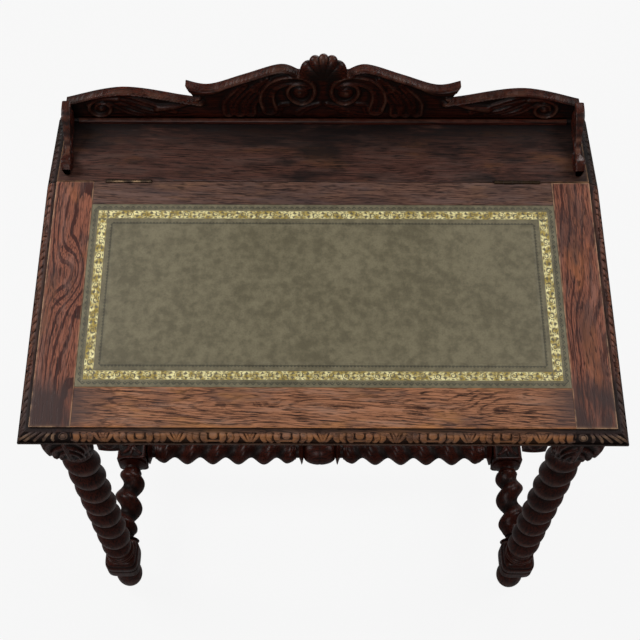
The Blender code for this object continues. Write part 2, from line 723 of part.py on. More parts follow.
def make_side_stretcher(name, side):
    reach = (LEG_REAR_Y - LEG_FRONT_Y - LOWER_BLOCK) / 2 - GAP
    half = MIDDLE_BLOCK / 2
    root = half - STRETCHER_TENON_LENGTH / 2
    middle = block((-half, -half, -half), (half, half, half))
    place = (side * LEG_X, MIDDLE_Y, STRETCHER_HEIGHT)
    stretcher = make_object(name, middle, OAK_DARK, location=place)
    for way in (-1, 1):
        tail = -reach - STRETCHER_TENON_LENGTH
        rings = stretcher_span(-reach, -half, side, tail)
        rings.append(circle(STRETCHER_NECK_RADIUS, STRETCHER_SIDES, -root))
        arm = turn_to_axis(loft(rings, side), "Y")
        if way > 0:
            bmesh.ops.rotate(arm, cent=(0, 0, 0), matrix=Matrix.Rotation(math.pi, 3, "Z"), verts=arm.verts)
        combine(stretcher, arm, "UNION")
    hole = turn_to_axis(dowel_hole(STRETCHER_TENON_RADIUS, STRETCHER_TENON_LENGTH, STRETCHER_SIDES), "X")
    combine(stretcher, moved(hole, (-side * half, 0, 0)), "DIFFERENCE")
    return stretcher


def make_cross_stretcher():
    """Two opposed twists with a turned ball between them, tenoned into the middle blocks."""
    reach = LEG_X - MIDDLE_BLOCK / 2 - GAP
    half = BALL_LENGTH / 2
    bulge = []
    for step in range(-CURVE_STEPS, CURVE_STEPS + 1):
        turn = math.pi / 2 * step / (CURVE_STEPS + 1)
        bulge.append((half * math.sin(turn), BALL_RADIUS * math.cos(turn)))
    ball = turn_to_axis(loft(turned(bulge, STRETCHER_SIDES)), "X")
    stretcher = make_object("cross_stretcher", ball, OAK_DARK, location=(0, MIDDLE_Y, STRETCHER_HEIGHT))
    for side in (-1, 1):
        rings = stretcher_span(-reach, -half, -1, -reach - STRETCHER_TENON_LENGTH)
        rings.append(circle(STRETCHER_NECK_RADIUS, STRETCHER_SIDES, -half / 2))
        arm = turn_to_axis(loft(rings, -1), "X")
        bmesh.ops.scale(arm, vec=(-side, 1, 1), verts=arm.verts)
        combine(stretcher, arm, "UNION")
    return stretcher


def rail_section(middle, inner, top_at):
    """Front or back rail: (y, z) outline with the rebate for the bottom board inside."""
    half = RAIL_THICKNESS / 2
    outer_y = middle - inner * half
    inner_y = middle + inner * half
    rebate_y = inner_y - inner * BOTTOM_REBATE
    rebate_z = RAIL_BOTTOM + BOTTOM_THICKNESS + GAP
    return [
        (outer_y, RAIL_BOTTOM),
        (outer_y, top_at(outer_y) - GAP),
        (inner_y, top_at(inner_y) - GAP),
        (inner_y, rebate_z),
        (rebate_y, rebate_z),
        (rebate_y, RAIL_BOTTOM),
    ]


def tenon_levels():
    foot = RAIL_BOTTOM + TENON_SHOULDER
    return foot, foot + TENON_HEIGHT


def make_cross_rail(name, middle, inner, top_at):
    half = LEG_X - TOP_BLOCK / 2 - GAP
    section = rail_section(middle, inner, top_at)
    rail = make_object(name, prism_x(section, -half, half), OAK_DARK)
    foot, head = tenon_levels()
    near, far = middle - TENON_THICKNESS / 2, middle + TENON_THICKNESS / 2
    for side in (-1, 1):
        root = side * (half - TENON_THICKNESS)
        low, high = sorted((root, side * (half + TENON_LENGTH)))
        combine(rail, block((low, near, foot), (high, far, head)), "UNION")
    return rail


def make_side_rail(name, side):
    front = LEG_FRONT_Y + TOP_BLOCK / 2 + GAP
    back = LEG_REAR_Y - TOP_BLOCK / 2 - GAP
    outline = [
        (front, RAIL_BOTTOM),
        (back, RAIL_BOTTOM),
        (back, SHELF_UNDERSIDE - GAP),
        (HINGE_Y, SHELF_UNDERSIDE - GAP),
        (front, lid_underside(front) - GAP),
    ]
    half = RAIL_THICKNESS / 2
    middle = side * LEG_X
    rail = make_object(name, prism_x(outline, middle - half, middle + half), OAK_DARK)
    foot, head = tenon_levels()
    thick = TENON_THICKNESS / 2
    for end, way in ((front, -1), (back, 1)):
        low, high = sorted((end - way * TENON_THICKNESS, end + way * TENON_LENGTH))
        combine(rail, block((middle - thick, low, foot), (middle + thick, high, head)), "UNION")
    inner = middle - side * half
    low, high = sorted((inner - side * GAP, inner + side * BOTTOM_REBATE))
    rebate_top = RAIL_BOTTOM + BOTTOM_THICKNESS + GAP
    rebate = block((low, front - GAP, RAIL_BOTTOM - GAP), (high, back + GAP, rebate_top))
    combine(rail, rebate, "DIFFERENCE")
    return rail


def make_bottom_board():
    """Floor of the well, notched round the four top blocks."""
    into_rebate = BOTTOM_REBATE - GAP - RAIL_THICKNESS / 2
    across = LEG_X + into_rebate
    front = LEG_FRONT_Y - into_rebate
    back = LEG_REAR_Y + into_rebate
    clear = TOP_BLOCK / 2 + GAP
    notch_x = LEG_X - clear
    notch_front = LEG_FRONT_Y + clear
    notch_back = LEG_REAR_Y - clear
    right = [
        (notch_x, front),
        (notch_x, notch_front),
        (across, notch_front),
        (across, notch_back),
        (notch_x, notch_back),
        (notch_x, back),
    ]
    left = [(-x, y) for x, y in reversed(right)]
    board = prism_z(right + left, RAIL_BOTTOM, RAIL_BOTTOM + BOTTOM_THICKNESS)
    make_object("bottom_board", board, OAK_INSIDE)


def make_corner_bracket(name, side):
    """Small shaped ear in the corner of the top block and the front rail."""
    top = RAIL_BOTTOM - GAP
    start = LEG_X - TOP_BLOCK / 2 - GAP
    drop = top - TOP_BLOCK_BOTTOM
    belly = []
    for step in range(CURVE_STEPS + 1):
        share = step / CURVE_STEPS
        sag = EAR_BELLY * 4 * share * (1 - share)
        belly.append((start - EAR_WIDTH * share, top - drop + EAR_BELLY - sag))
    outline = [(start, top)] + belly + [(start - EAR_WIDTH, top)]
    outline = [(side * x, z) for x, z in outline]
    half = EAR_THICKNESS / 2
    make_object(name, prism_y(outline, LEG_FRONT_Y - half, LEG_FRONT_Y + half), OAK_DARK)


def shelf_underside(_):
    return SHELF_UNDERSIDE


def make_case():
    ends = (("front", LEG_FRONT_Y, lid_underside), ("rear", LEG_REAR_Y, shelf_underside))
    for side_name, side in (("left", -1), ("right", 1)):
        for end_name, y, top_at in ends:
            make_leg(f"leg_{end_name}_{side_name}", side * LEG_X, y, side, top_at)
            make_foot(f"foot_{end_name}_{side_name}", side * LEG_X, y)
        make_side_stretcher(f"side_stretcher_{side_name}", side)
        make_side_rail(f"side_rail_{side_name}", side)
        make_corner_bracket(f"corner_bracket_{side_name}", side)
    make_cross_stretcher()
    make_cross_rail("front_rail", LEG_FRONT_Y, 1, lid_underside)
    make_cross_rail("back_rail", LEG_REAR_Y, -1, shelf_underside)
    make_bottom_board()


def make_lid():
    pivot = bpy.data.objects.new("lid_pivot", None)
    bpy.context.collection.objects.link(pivot)
    pivot.location = (0, HINGE_Y, SHELF_TOP)
    pivot.rotation_euler = (LID_SLOPE, 0, 0)
    make_hinge_rail(pivot)
    make_front_rail_of_lid(pivot)
    make_panel(pivot)
    make_leather(pivot)
    for side_name, side in (("left", -1), ("right", 1)):
        make_stile(f"lid_stile_{side_name}", side, pivot)
        make_hinge(side_name, side, pivot)


def shade_round_pieces():
    for piece in bpy.data.objects:
        if piece.type == "MESH":
            piece.data.shade_smooth()
            piece.data.set_sharp_from_angle(angle=math.radians(35))


def main():
    clear_scene()
    make_case()
    make_shelf()
    make_gallery()
    make_lid()
    shade_round_pieces()


main()
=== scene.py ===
"""Looks of the carved oak writing table: carving, twist turning, leather, gilding and finishes."""
import json
import math

import bpy
import numpy as np
from mathutils import Matrix, Vector


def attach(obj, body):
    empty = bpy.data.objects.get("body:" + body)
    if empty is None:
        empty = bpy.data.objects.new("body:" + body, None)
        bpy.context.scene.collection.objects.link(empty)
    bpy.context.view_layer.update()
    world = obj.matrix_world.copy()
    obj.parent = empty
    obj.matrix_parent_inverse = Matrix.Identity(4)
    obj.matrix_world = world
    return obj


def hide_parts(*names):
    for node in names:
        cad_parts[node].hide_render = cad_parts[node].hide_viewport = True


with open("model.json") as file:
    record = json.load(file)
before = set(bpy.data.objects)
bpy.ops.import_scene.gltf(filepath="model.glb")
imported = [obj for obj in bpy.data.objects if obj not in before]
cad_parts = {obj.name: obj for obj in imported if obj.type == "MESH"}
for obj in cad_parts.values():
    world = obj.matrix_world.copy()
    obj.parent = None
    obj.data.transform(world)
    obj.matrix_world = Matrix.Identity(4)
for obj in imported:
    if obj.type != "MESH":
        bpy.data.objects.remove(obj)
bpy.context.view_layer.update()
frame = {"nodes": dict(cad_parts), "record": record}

MM = 0.001
GAP = 0.0003
WELD = 2e-6

# Sizes shared with the solids, in metres
HINGE = np.array(frame["record"]["behaviour"]["joints"][0]["pos_m"])
SLOPE = math.radians(8.9)
LID_HALF = 0.410
LID_LENGTH = 0.396
LID_THICKNESS = 0.024
STILE_INNER = 0.3517
HINGE_RAIL_WIDTH = 0.0404
PANEL_FRONT = 0.3364
LID_JOINT = 0.0006
LEATHER_TOP = -0.0004
LEATHER_THICKNESS = 0.0012
NOSING_REACH = 0.0165
QUIRK_DEPTH = 0.0028
QUIRK_WIDTH = 0.0022
THUMB_HEIGHT = 0.0145
FILLET_PROUD = 0.0018
SHELF_TOP = HINGE[2]
SHELF_DEPTH = 0.144
SHELF_THICKNESS = LID_THICKNESS / math.cos(SLOPE)
SHELF_UNDERSIDE = SHELF_TOP - SHELF_THICKNESS
FRONT_Y = HINGE[1] - LID_LENGTH * math.cos(SLOPE)
FRONT_HEIGHT = 0.760
BACK_Y = HINGE[1] + SHELF_DEPTH
CREST_THICKNESS = 0.018
CREST_FRONT = BACK_Y - CREST_THICKNESS
HINGE_AT = 0.299
HINGE_LENGTH = 0.070
HOUSING_DEPTH = 0.0028
HOUSING_DROP = 0.0183
LEG_X = 0.378
LEG_FRONT_Y = FRONT_Y + 0.045
LEG_REAR_Y = BACK_Y - 0.0382
MIDDLE_Y = (LEG_FRONT_Y + LEG_REAR_Y) / 2
TOP_BLOCK = 0.072
TOP_BLOCK_FOOT = 0.062
TOP_BLOCK_BOTTOM = FRONT_HEIGHT - 0.155
RAIL_BOTTOM = FRONT_HEIGHT - 0.095
LOWER_BLOCK = 0.062
LOWER_BLOCK_BOTTOM = 0.088
LOWER_BLOCK_TOP = 0.148
LOWER_BLOCK_ROUND = 0.012
COLLAR_HEIGHT = 0.010
STRETCHER_HEIGHT = (LOWER_BLOCK_BOTTOM + LOWER_BLOCK_TOP) / 2
MIDDLE_BLOCK = 0.060
BALL_LENGTH = 0.068
BALL_RADIUS = 0.028
STRETCHER_RADIUS = 0.028
BRACKET_INSET = 0.003
BRACKET_THICKNESS = 0.017
LEG_RADIUS = 0.028
LEG_TWIST = dict(groove=0.0115, pitch=0.054, steps_round=8)
COLLAR_EDGE = 0.0205
COLLAR_CROWN = 0.0262
STRETCHER_TWIST = dict(groove=0.014, pitch=0.0525, steps_round=8, fullness=2.0)
STRETCHER_NECK = 0.0142
RING_EDGE = 0.0235
RING_CROWN = 0.0278
RING_LENGTH = 0.008
NECK_LENGTH = 0.006

SIDES = (("left", -1), ("right", 1))


# Modelling tools

def object_mode():
    bpy.ops.object.mode_set(mode="OBJECT")


def deselect():
    if bpy.context.object and bpy.context.object.mode != "OBJECT":
        object_mode()
    bpy.ops.object.select_all(action="DESELECT")


def choose(piece):
    deselect()
    piece.select_set(True)
    bpy.context.view_layer.objects.active = piece


def edit(piece):
    choose(piece)
    bpy.ops.object.mode_set(mode="EDIT")
    bpy.ops.mesh.select_all(action="SELECT")


def set_values(piece, name, values):
    """Store a finish value on every point of a piece."""
    layer = piece.data.attributes.get(name)
    if layer is None:
        layer = piece.data.attributes.new(name, "FLOAT", "POINT")
    layer.data.foreach_set("value", np.asarray(values, np.float32).ravel())


def points_of(piece):
    flat = np.empty(len(piece.data.vertices) * 3, np.float32)
    piece.data.vertices.foreach_get("co", flat)
    return flat.reshape(-1, 3).astype(float)


def set_points(piece, points):
    piece.data.vertices.foreach_set("co", np.asarray(points, np.float32).ravel())
    piece.data.update()


def skin(name, points, hollow=0.0, wear_and_highlight=0.0):
    """Shape a grid primitive into the surface that a table of points gives, rows by columns."""
    rows, columns = points.shape[0] - 1, points.shape[1] - 1
    deselect()
    bpy.ops.mesh.primitive_grid_add(x_subdivisions=columns, y_subdivisions=rows, size=2)
    piece = bpy.context.object
    piece.name = piece.data.name = name
    flat = points_of(piece)
    column = np.rint((flat[:, 0] + 1) / 2 * columns).astype(int)
    row = np.rint((flat[:, 1] + 1) / 2 * rows).astype(int)
    for layer, values in (("hollow", hollow), ("wear_and_highlight", wear_and_highlight)):
        set_values(piece, layer, np.broadcast_to(values, points.shape[:2])[row, column])
    set_points(piece, points[row, column])
    return piece


def skin_rows(name, rows, place=0.0):
    """A skin from rows that each hold points, painted shade of hollows, and wear with painted highlights in
    places.
    """
    points, hollow, wear_and_highlight = map(np.array, zip(*rows))
    return skin(name, points + place, hollow, wear_and_highlight)


def face_outwards(piece):
    edit(piece)
    bpy.ops.mesh.normals_make_consistent(inside=False)
    object_mode()


def close_up(piece, angle=38):
    """Join seams, cap open ends, turn faces outwards and smooth the rounded ones."""
    edit(piece)
    bpy.ops.mesh.remove_doubles(threshold=WELD)
    bpy.ops.mesh.select_all(action="SELECT")
    bpy.ops.mesh.fill_holes(sides=0)
    face_outwards(piece)
    smooth(piece, angle)
    return piece


def smooth(piece, angle=38):
    choose(piece)
    bpy.ops.object.shade_smooth_by_angle(angle=math.radians(angle))


def apply_modifiers(piece):
    choose(piece)
    for modifier in list(piece.modifiers):
        bpy.ops.object.modifier_apply(modifier=modifier.name)


def cut(piece, tool, operation="DIFFERENCE"):
    change = piece.modifiers.new("cut", "BOOLEAN")
    change.object = tool
    change.operation = operation
    change.solver = "EXACT"
    apply_modifiers(piece)
    bpy.data.objects.remove(tool, do_unlink=True)


def join(pieces, name):
    deselect()
    for piece in pieces:
        piece.select_set(True)
    bpy.context.view_layer.objects.active = pieces[0]
    bpy.ops.object.join()
    pieces[0].name = pieces[0].data.name = name
    return pieces[0]


def copy_of(piece, matrix):
    """A copy with its own mesh, moved inside the mesh."""
    twin = piece.copy()
    twin.data = piece.data.copy()
    twin.data.transform(matrix)
    bpy.context.collection.objects.link(twin)
    return twin


def box_piece(name, low, high):
    low, high = Vector(low), Vector(high)
    deselect()
    bpy.ops.mesh.primitive_cube_add(size=1, location=(low + high) / 2)
    piece = bpy.context.object
    piece.name = piece.data.name = name
    piece.scale = high - low
    bpy.ops.object.transform_apply(location=True, rotation=True, scale=True)
    return piece


def dress(piece, body, slot, material, *nodes):
    """Give a piece its finish and the body it rides on, and hide the solids that it stands for."""
    piece.data.materials.clear()
    piece.data.materials.append(material)
    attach(piece, body)
    if nodes:
        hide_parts(*nodes)
    return piece


# Lines and carved relief, worked in millimetres

def smooth_line(padded, steps):
    """Points along a smooth line through all the given ones but the first and the last."""
    t = (np.arange(steps) / steps)[:, None]
    line = []
    for a, b, c, d in zip(padded, padded[1:], padded[2:], padded[3:]):
        bend = (2 * a - 5 * b + 4 * c - d) * t ** 2 + (3 * b - a - 3 * c + d) * t ** 3
        line.append(b + ((c - a) * t + bend) / 2)
    line.append(padded[-2:-1])
    return np.vstack(line)


def curve_through(points, steps=8):
    """A smooth line whose ends run out straight."""
    points = np.asarray(points, float)
    if len(points) == 2:
        return points
    return smooth_line(np.vstack([2 * points[0] - points[1], points, 2 * points[-1] - points[-2]]), steps)


def line_like_solid(points, steps=10):
    """The solids' own smooth line, whose ends keep half their pull."""
    points = np.asarray(points, float)
    return smooth_line(np.vstack([points[0], points, points[-1]]), steps)


def near_line(x, y, line):
    """Distance from every point to a line, and the share of the line at the nearest place."""
    best = np.full(x.shape, 1e9)
    share = np.zeros(x.shape)
    lengths = np.r_[0, np.cumsum(np.linalg.norm(np.diff(line, axis=0), axis=1))]
    for a, b, start, end in zip(line, line[1:], lengths, lengths[1:]):
        way = b - a
        along = ((x - a[0]) * way[0] + (y - a[1]) * way[1]) / max(way @ way, 1e-12)
        along = np.clip(along, 0, 1)
        distance = np.hypot(x - a[0] - along * way[0], y - a[1] - along * way[1])
        closer = distance < best
        best = np.where(closer, distance, best)
        share = np.where(closer, (start + along * (end - start)) / lengths[-1], share)
    return best, share


def spiral(centre, start_angle, turns, radius, end_radius, steps=60):
    """Points of a scroll that winds inwards; negative turns wind clockwise."""
    share = np.linspace(0, 1, steps)
    angle = np.radians(start_angle) + 2 * math.pi * turns * share
    size = radius + (end_radius - radius) * share ** 0.85
    return np.column_stack([centre[0] + size * np.cos(angle), centre[1] + size * np.sin(angle)])


class Relief:
    """Heights over a flat ground, in millimetres: ridges stand up, gouges cut in.

    A line is an array of places, or a list of points that a smooth line runs through.
    """

    def __init__(self, x, y, roundness=0.5):
        self.x, self.y = x, y
        self.roundness = roundness
        self.height = np.zeros(x.shape)

    def from_line(self, line):
        if not isinstance(line, np.ndarray):
            line = curve_through(line)
        return near_line(self.x, self.y, line)

    def crown(self, distance, width, height):
        rise = height * np.clip(1 - (distance / width) ** 2, 0, 1) ** self.roundness
        self.height = np.maximum(self.height, rise)

    def ridge(self, line, width, height, end_width=None):
        distance, share = self.from_line(line)
        self.crown(distance, width + ((end_width or width) - width) * share, height)

    def gouge(self, line, width, depth):
        distance, _ = self.from_line(line)
        self.height = self.height - depth * np.clip(1 - (distance / width) ** 2, 0, 1)

    def boss(self, centre, radius, height):
        self.crown(np.hypot(self.x - centre[0], self.y - centre[1]), radius, height)

    def frond(self, line, width, height, end_width):
        """A leaf that lies over what is there: its edges stand up and its middle is scooped out."""
        distance, share = self.from_line(line)
        width = width + (end_width - width) * share
        rim = width + 1.4
        scoop = height * (0.50 + 0.50 * np.clip(distance / width, 0, 1) ** 2)
        fall = np.clip((rim - distance) / 2.2, 0, 1)
        laid = np.maximum(scoop * fall, self.height * (1 - fall))
        self.height = np.where(distance < rim, laid, self.height)

    def leaf(self, line, width, height, end_width, vein=1.3):
        self.ridge(line, width, height, end_width)
        self.gouge(line, vein, 0.35 * height)


def step_up(value, low, high):
    share = np.clip((value - low) / (high - low), 0, 1)
    return share * share * (3 - 2 * share)


# Finishes

class Nodes:
    """Short ways to add shader nodes to a tree; a socket takes a value or another node's output."""

    def __init__(self, tree):
        self.tree = tree

    def put(self, socket, value):
        if isinstance(value, bpy.types.NodeSocket):
            self.tree.links.new(value, socket)
        elif value is not None:
            socket.default_value = value

    def add(self, kind, settings=None, **sockets):
        made = self.tree.nodes.new(kind)
        for key, value in (settings or {}).items():
            setattr(made, key, value)
        for key, value in sockets.items():
            self.put(made.inputs[key], value)
        return made

    def fill(self, made, *values):
        """Set a node's first sockets in their order, and give its first output."""
        for socket, value in zip(made.inputs, values):
            self.put(socket, value)
        return made.outputs[0]

    def times(self, first, second, plus=None):
        """The product of two values, with a third one added to it if there is one."""
        how = "MULTIPLY" if plus is None else "MULTIPLY_ADD"
        return self.fill(self.add("ShaderNodeMath", {"operation": how}), first, second, plus)

    def spread(self, value, low, high, to_low=0.0, to_high=1.0):
        """Draw out the values from low to high over a new range, with soft ends."""
        made = self.add("ShaderNodeMapRange", {"interpolation_type": "SMOOTHSTEP"})
        return self.fill(made, value, low, high, to_low, to_high)

    def vectors(self, how, *values):
        return self.fill(self.add("ShaderNodeVectorMath", {"operation": how}), *values)

    def mapped(self, vector, **sockets):
        made = self.add("ShaderNodeMapping", {"vector_type": "POINT"}, Vector=vector, **sockets)
        return made.outputs[0]

    def noise(self, vector, scale, detail=3.0, roughness=0.55):
        """Soft random values; three scales stretch them along the axes."""
        if isinstance(scale, tuple):
            vector, scale = self.mapped(vector, Scale=scale), 1.0
        made = self.add("ShaderNodeTexNoise", Vector=vector, Scale=scale, Detail=detail, Roughness=roughness)
        return made.outputs[0]

    def blend(self, factor, first, second):
        """Mix of two colours, each an output or a colour's three parts."""
        made = self.add("ShaderNodeMix", {"data_type": "RGBA", "blend_type": "MIX", "clamp_factor": True})
        for index, value in ((0, factor), (6, first), (7, second)):
            self.put(made.inputs[index], (*value, 1.0) if isinstance(value, tuple) else value)
        return made.outputs[2]

    def cover(self, body, colour, where, share):
        """Lay a colour over the body, as dense as a value and its share say."""
        return self.blend(self.times(where, share), body, colour)


class Finish(Nodes):
    """A new material and its shader nodes."""

    def __init__(self, name):
        self.material = bpy.data.materials.new(name)
        self.material.use_nodes = True
        super().__init__(self.material.node_tree)
        self.shader = self.tree.nodes["Principled BSDF"]

    def place(self):
        return self.add("ShaderNodeTexCoord").outputs["Object"]

    def attribute(self, name):
        return self.add("ShaderNodeAttribute", {"attribute_name": name}).outputs["Fac"]

    def bump(self, height, strength, distance):
        return self.add("ShaderNodeBump", Strength=strength, Distance=distance, Height=height).outputs[0]

    def set(self, name, value):
        self.put(self.shader.inputs[name], value)


GRAIN_TURNS = {
    "x": (0.0, 0.0, 0.0),
    "shelf_x": (0.0, 0.012, 0.02),
    "y": (0.0, 0.0, -math.pi / 2),
    "z": (0.0, math.pi / 2, 0.0),
    "lid_x": (-SLOPE, 0.02, 0.03),
    "lid_y": (-SLOPE + 0.05, 0.0, -math.pi / 2),
}
GRAIN_DRIFTS = (
    ((0.0, 0.036, 0.02), (2.4, 9.0, 9.0)),
    ((0.0, 0.0045, 0.003), (15.0, 30.0, 30.0)),
)
# Near-black colour of the painted shade laid into hollows, grooves, quirks and creases.
PAINTED_SHADE_COLOUR = (0.004, 0.002, 0.0015)


def lift_round_eye(wood, place, vector, middle, reach, swell):
    """Raise the grain round one place, so that its rings close into an eye there."""
    away = wood.add("ShaderNodeVectorMath", {"operation": "LENGTH"})
    wood.fill(away, wood.mapped(place, Scale=(1 / reach[0], 1 / reach[1], 0.0),
                                Location=(-middle[0] / reach[0], -middle[1] / reach[1], 0.0)))
    lift = wood.spread(away.outputs["Value"], 0.0, 1.0, swell, 0.0)
    return wood.vectors("ADD", vector, wood.add("ShaderNodeCombineXYZ", Z=lift).outputs[0])


def darken_towards(wood, place, clouds, depths, ends):
    """Darkening that gathers from one depth to another, and only towards the ends if those are given."""
    where = wood.add("ShaderNodeSeparateXYZ", Vector=place).outputs
    darkening = wood.spread(where["Y"], *depths)
    if ends:
        from_middle = wood.fill(wood.add("ShaderNodeMath", {"operation": "ABSOLUTE"}), where["X"])
        darkening = wood.times(darkening, wood.spread(from_middle, *ends))
    return wood.times(darkening, wood.spread(clouds, 0.27, 0.47))


def oak(name, grain, light, dark, stain, heart=(0.0, 0.05, -0.08), figure=0.25, ring_scale=250.0,
        polish=0.42, shine=0.18, wear_and_highlight_colour=(0.32, 0.17, 0.085), gold=None, stain_cover=0.55, fine=1.0,
        pore_depth=0.35, shade_and_dirt=None, shade_and_dirt_ends=None, bloom=None, eye=None):
    """Stained, waxed oak: growth rings, wavy streaks, pores, blotched stain, painted shade in hollows, and
    wear on edges with painted highlights in places.
    """
    wood = Finish(name)
    place = wood.place()
    turned = wood.mapped(place, Rotation=GRAIN_TURNS[grain], Location=heart)
    wandering = turned
    for reach, scale in GRAIN_DRIFTS:
        drift = wood.noise(turned, scale, 2.0)
        aside = wood.add("ShaderNodeCombineXYZ", X=0.0, Y=drift, Z=drift).outputs[0]
        wandering = wood.vectors("MULTIPLY_ADD", aside, reach, wandering)
    if eye:
        wandering = lift_round_eye(wood, place, wandering, *eye)
    ring_kind = {"wave_type": "RINGS", "rings_direction": "X", "wave_profile": "SIN"}
    rings = wood.add("ShaderNodeTexWave", ring_kind, Vector=wandering, Scale=ring_scale,
                     Distortion=1.2, Detail=2.0).outputs["Fac"]
    streaks = wood.noise(wandering, (7.0, 460.0 * fine, 460.0 * fine), 4.0, 0.62)
    fibres = wood.noise(turned, (20.0, 1000.0 * fine, 1000.0 * fine), 3.0, 0.6)
    pores = wood.spread(wood.noise(wandering, (44.0, 430.0, 430.0), 2.0, 0.5), 0.55, 0.66)
    patches = wood.noise(turned, (8.0, 23.0, 23.0), 4.0, 0.62)
    clouds = wood.noise(turned, (9.0, 26.0, 21.0), 3.0, 0.6)
    figured = wood.times(wood.spread(rings, 0.64, 0.99), figure, wood.times(streaks, 0.60))
    figured = wood.times(fibres, 0.40, figured)
    body = wood.blend(wood.spread(figured, 0.44, 0.61), light, dark)
    if gold:
        body = wood.cover(body, gold, wood.spread(clouds, 0.52, 0.70), 0.55)
    if bloom:
        wax = wood.noise(wandering, (11.0, 70.0, 70.0), 5.0, 0.66)
        body = wood.cover(body, bloom, wood.spread(wax, 0.48, 0.68), 0.5)
    body = wood.cover(body, stain, wood.spread(patches, 0.46, 0.66), stain_cover)
    body = wood.cover(body, tuple(0.3 * part for part in dark), pores, 0.7)
    # Darkening towards one edge: painted shade of the crest with staining on the shelf, and dirt towards the
    # front corners of the lid.
    if shade_and_dirt:
        body = wood.cover(body, stain, darken_towards(wood, place, clouds, shade_and_dirt, shade_and_dirt_ends), 0.95)
    # The hollow attribute paints shade into recesses, grooves and creases.
    hollow = wood.attribute("hollow")
    patchy = wood.spread(wood.noise(place, 55.0, 4.0), 0.36, 0.62)
    # The wear_and_highlight attribute lays wear over the body, and on some pieces painted highlights.
    body = wood.cover(body, wear_and_highlight_colour, wood.attribute("wear_and_highlight"), wood.times(patchy, 0.75, 0.12))
    wood.set("Base Color", wood.cover(body, PAINTED_SHADE_COLOUR, hollow, 0.92))
    rough = wood.times(pores, 0.12, wood.times(streaks, 0.18, polish - 0.09))
    wood.set("Roughness", wood.times(hollow, 0.25, rough))
    surface = wood.times(pores, -0.7, wood.times(streaks, 0.6))
    wood.set("Normal", wood.bump(surface, pore_depth, 0.0006))
    wood.set("Specular IOR Level", shine)
    return wood.material


def leather_finish(name, light, dark, roughness=0.52):
    """Aged skiver leather: cloudy olive colour, fine pebbled grain and a soft sheen."""
    hide = Finish(name)
    place = hide.place()
    clouds = hide.noise(place, 11.0, 6.0, 0.66)
    mottle = hide.noise(place, 75.0, 4.0, 0.62)
    pebble = hide.add("ShaderNodeTexVoronoi", {"feature": "F1"}, Vector=place, Scale=900.0)
    fine = hide.noise(place, 420.0, 3.0)
    tone = hide.times(clouds, 0.36, hide.times(mottle, 0.64))
    body = hide.blend(hide.spread(tone, 0.37, 0.63), dark, light)
    deep = tuple(0.55 * part for part in dark)
    hide.set("Base Color", hide.blend(hide.spread(fine, 0.40, 0.75, 0.0, 0.35), body, deep))
    hide.set("Roughness", hide.times(clouds, 0.2, roughness - 0.1))
    height = hide.times(pebble.outputs["Distance"], 0.6, hide.times(fine, 0.5))
    hide.set("Normal", hide.bump(height, 0.25, 0.0003))
    return hide.material


def gilt_finish(name):
    """Gold leaf pressed into leather, rubbed thin in places."""
    gilt = Finish(name)
    place = gilt.place()
    rubbed = gilt.spread(gilt.noise(place, 130.0, 3.0, 0.6), 0.56, 0.72)
    tone = gilt.noise(place, 110.0, 3.0)
    gold = gilt.blend(gilt.spread(tone, 0.40, 0.60), (0.50, 0.37, 0.10), (1.0, 0.90, 0.46))
    gilt.set("Base Color", gilt.blend(rubbed, gold, (0.26, 0.20, 0.09)))
    gilt.set("Metallic", gilt.spread(rubbed, 0.0, 1.0, 0.28, 0.08))
    gilt.set("Roughness", gilt.spread(tone, 0.3, 0.7, 0.26, 0.42))
    return gilt.material


def brass_finish(name):
    """Old brass: dull brown film with bright rubbed places."""
    brass = Finish(name)
    film = brass.spread(brass.noise(brass.place(), 60.0, 3.0, 0.5), 0.30, 0.70)
    brass.set("Base Color", brass.blend(film, (0.11, 0.072, 0.042), (0.040, 0.028, 0.022)))
    brass.set("Roughness", brass.spread(film, 0.0, 1.0, 0.28, 0.48))
    brass.set("Metallic", 1.0)
    return brass.material


LID_LEVEL = SHELF_TOP * math.cos(SLOPE) - HINGE[1] * math.sin(SLOPE)
CORNER_DIRT = dict(shade_and_dirt=(-0.170, -0.215), shade_and_dirt_ends=(0.285, 0.365))
OAK_CARVED = dict(
    light=(0.060, 0.0115, 0.006), dark=(0.008, 0.0017, 0.0012), stain=(0.005, 0.0020, 0.0014),
    wear_and_highlight_colour=(0.17, 0.080, 0.052), figure=0.1, polish=0.34, shine=0.15, pore_depth=0.12)
OAK_STILE = dict(
    light=(0.272, 0.096, 0.057), dark=(0.050, 0.014, 0.010), stain=(0.050, 0.030, 0.028),
    gold=(0.36, 0.125, 0.050), bloom=(0.26, 0.128, 0.098), wear_and_highlight_colour=(0.52, 0.31, 0.18),
    ring_scale=54.0, fine=1.7, **CORNER_DIRT)

carved_x = oak("carved_oak_across", "x", **OAK_CARVED)
carved_y = oak("carved_oak_deep", "y", **OAK_CARVED)
carved_z = oak("carved_oak_upright", "z", **OAK_CARVED)
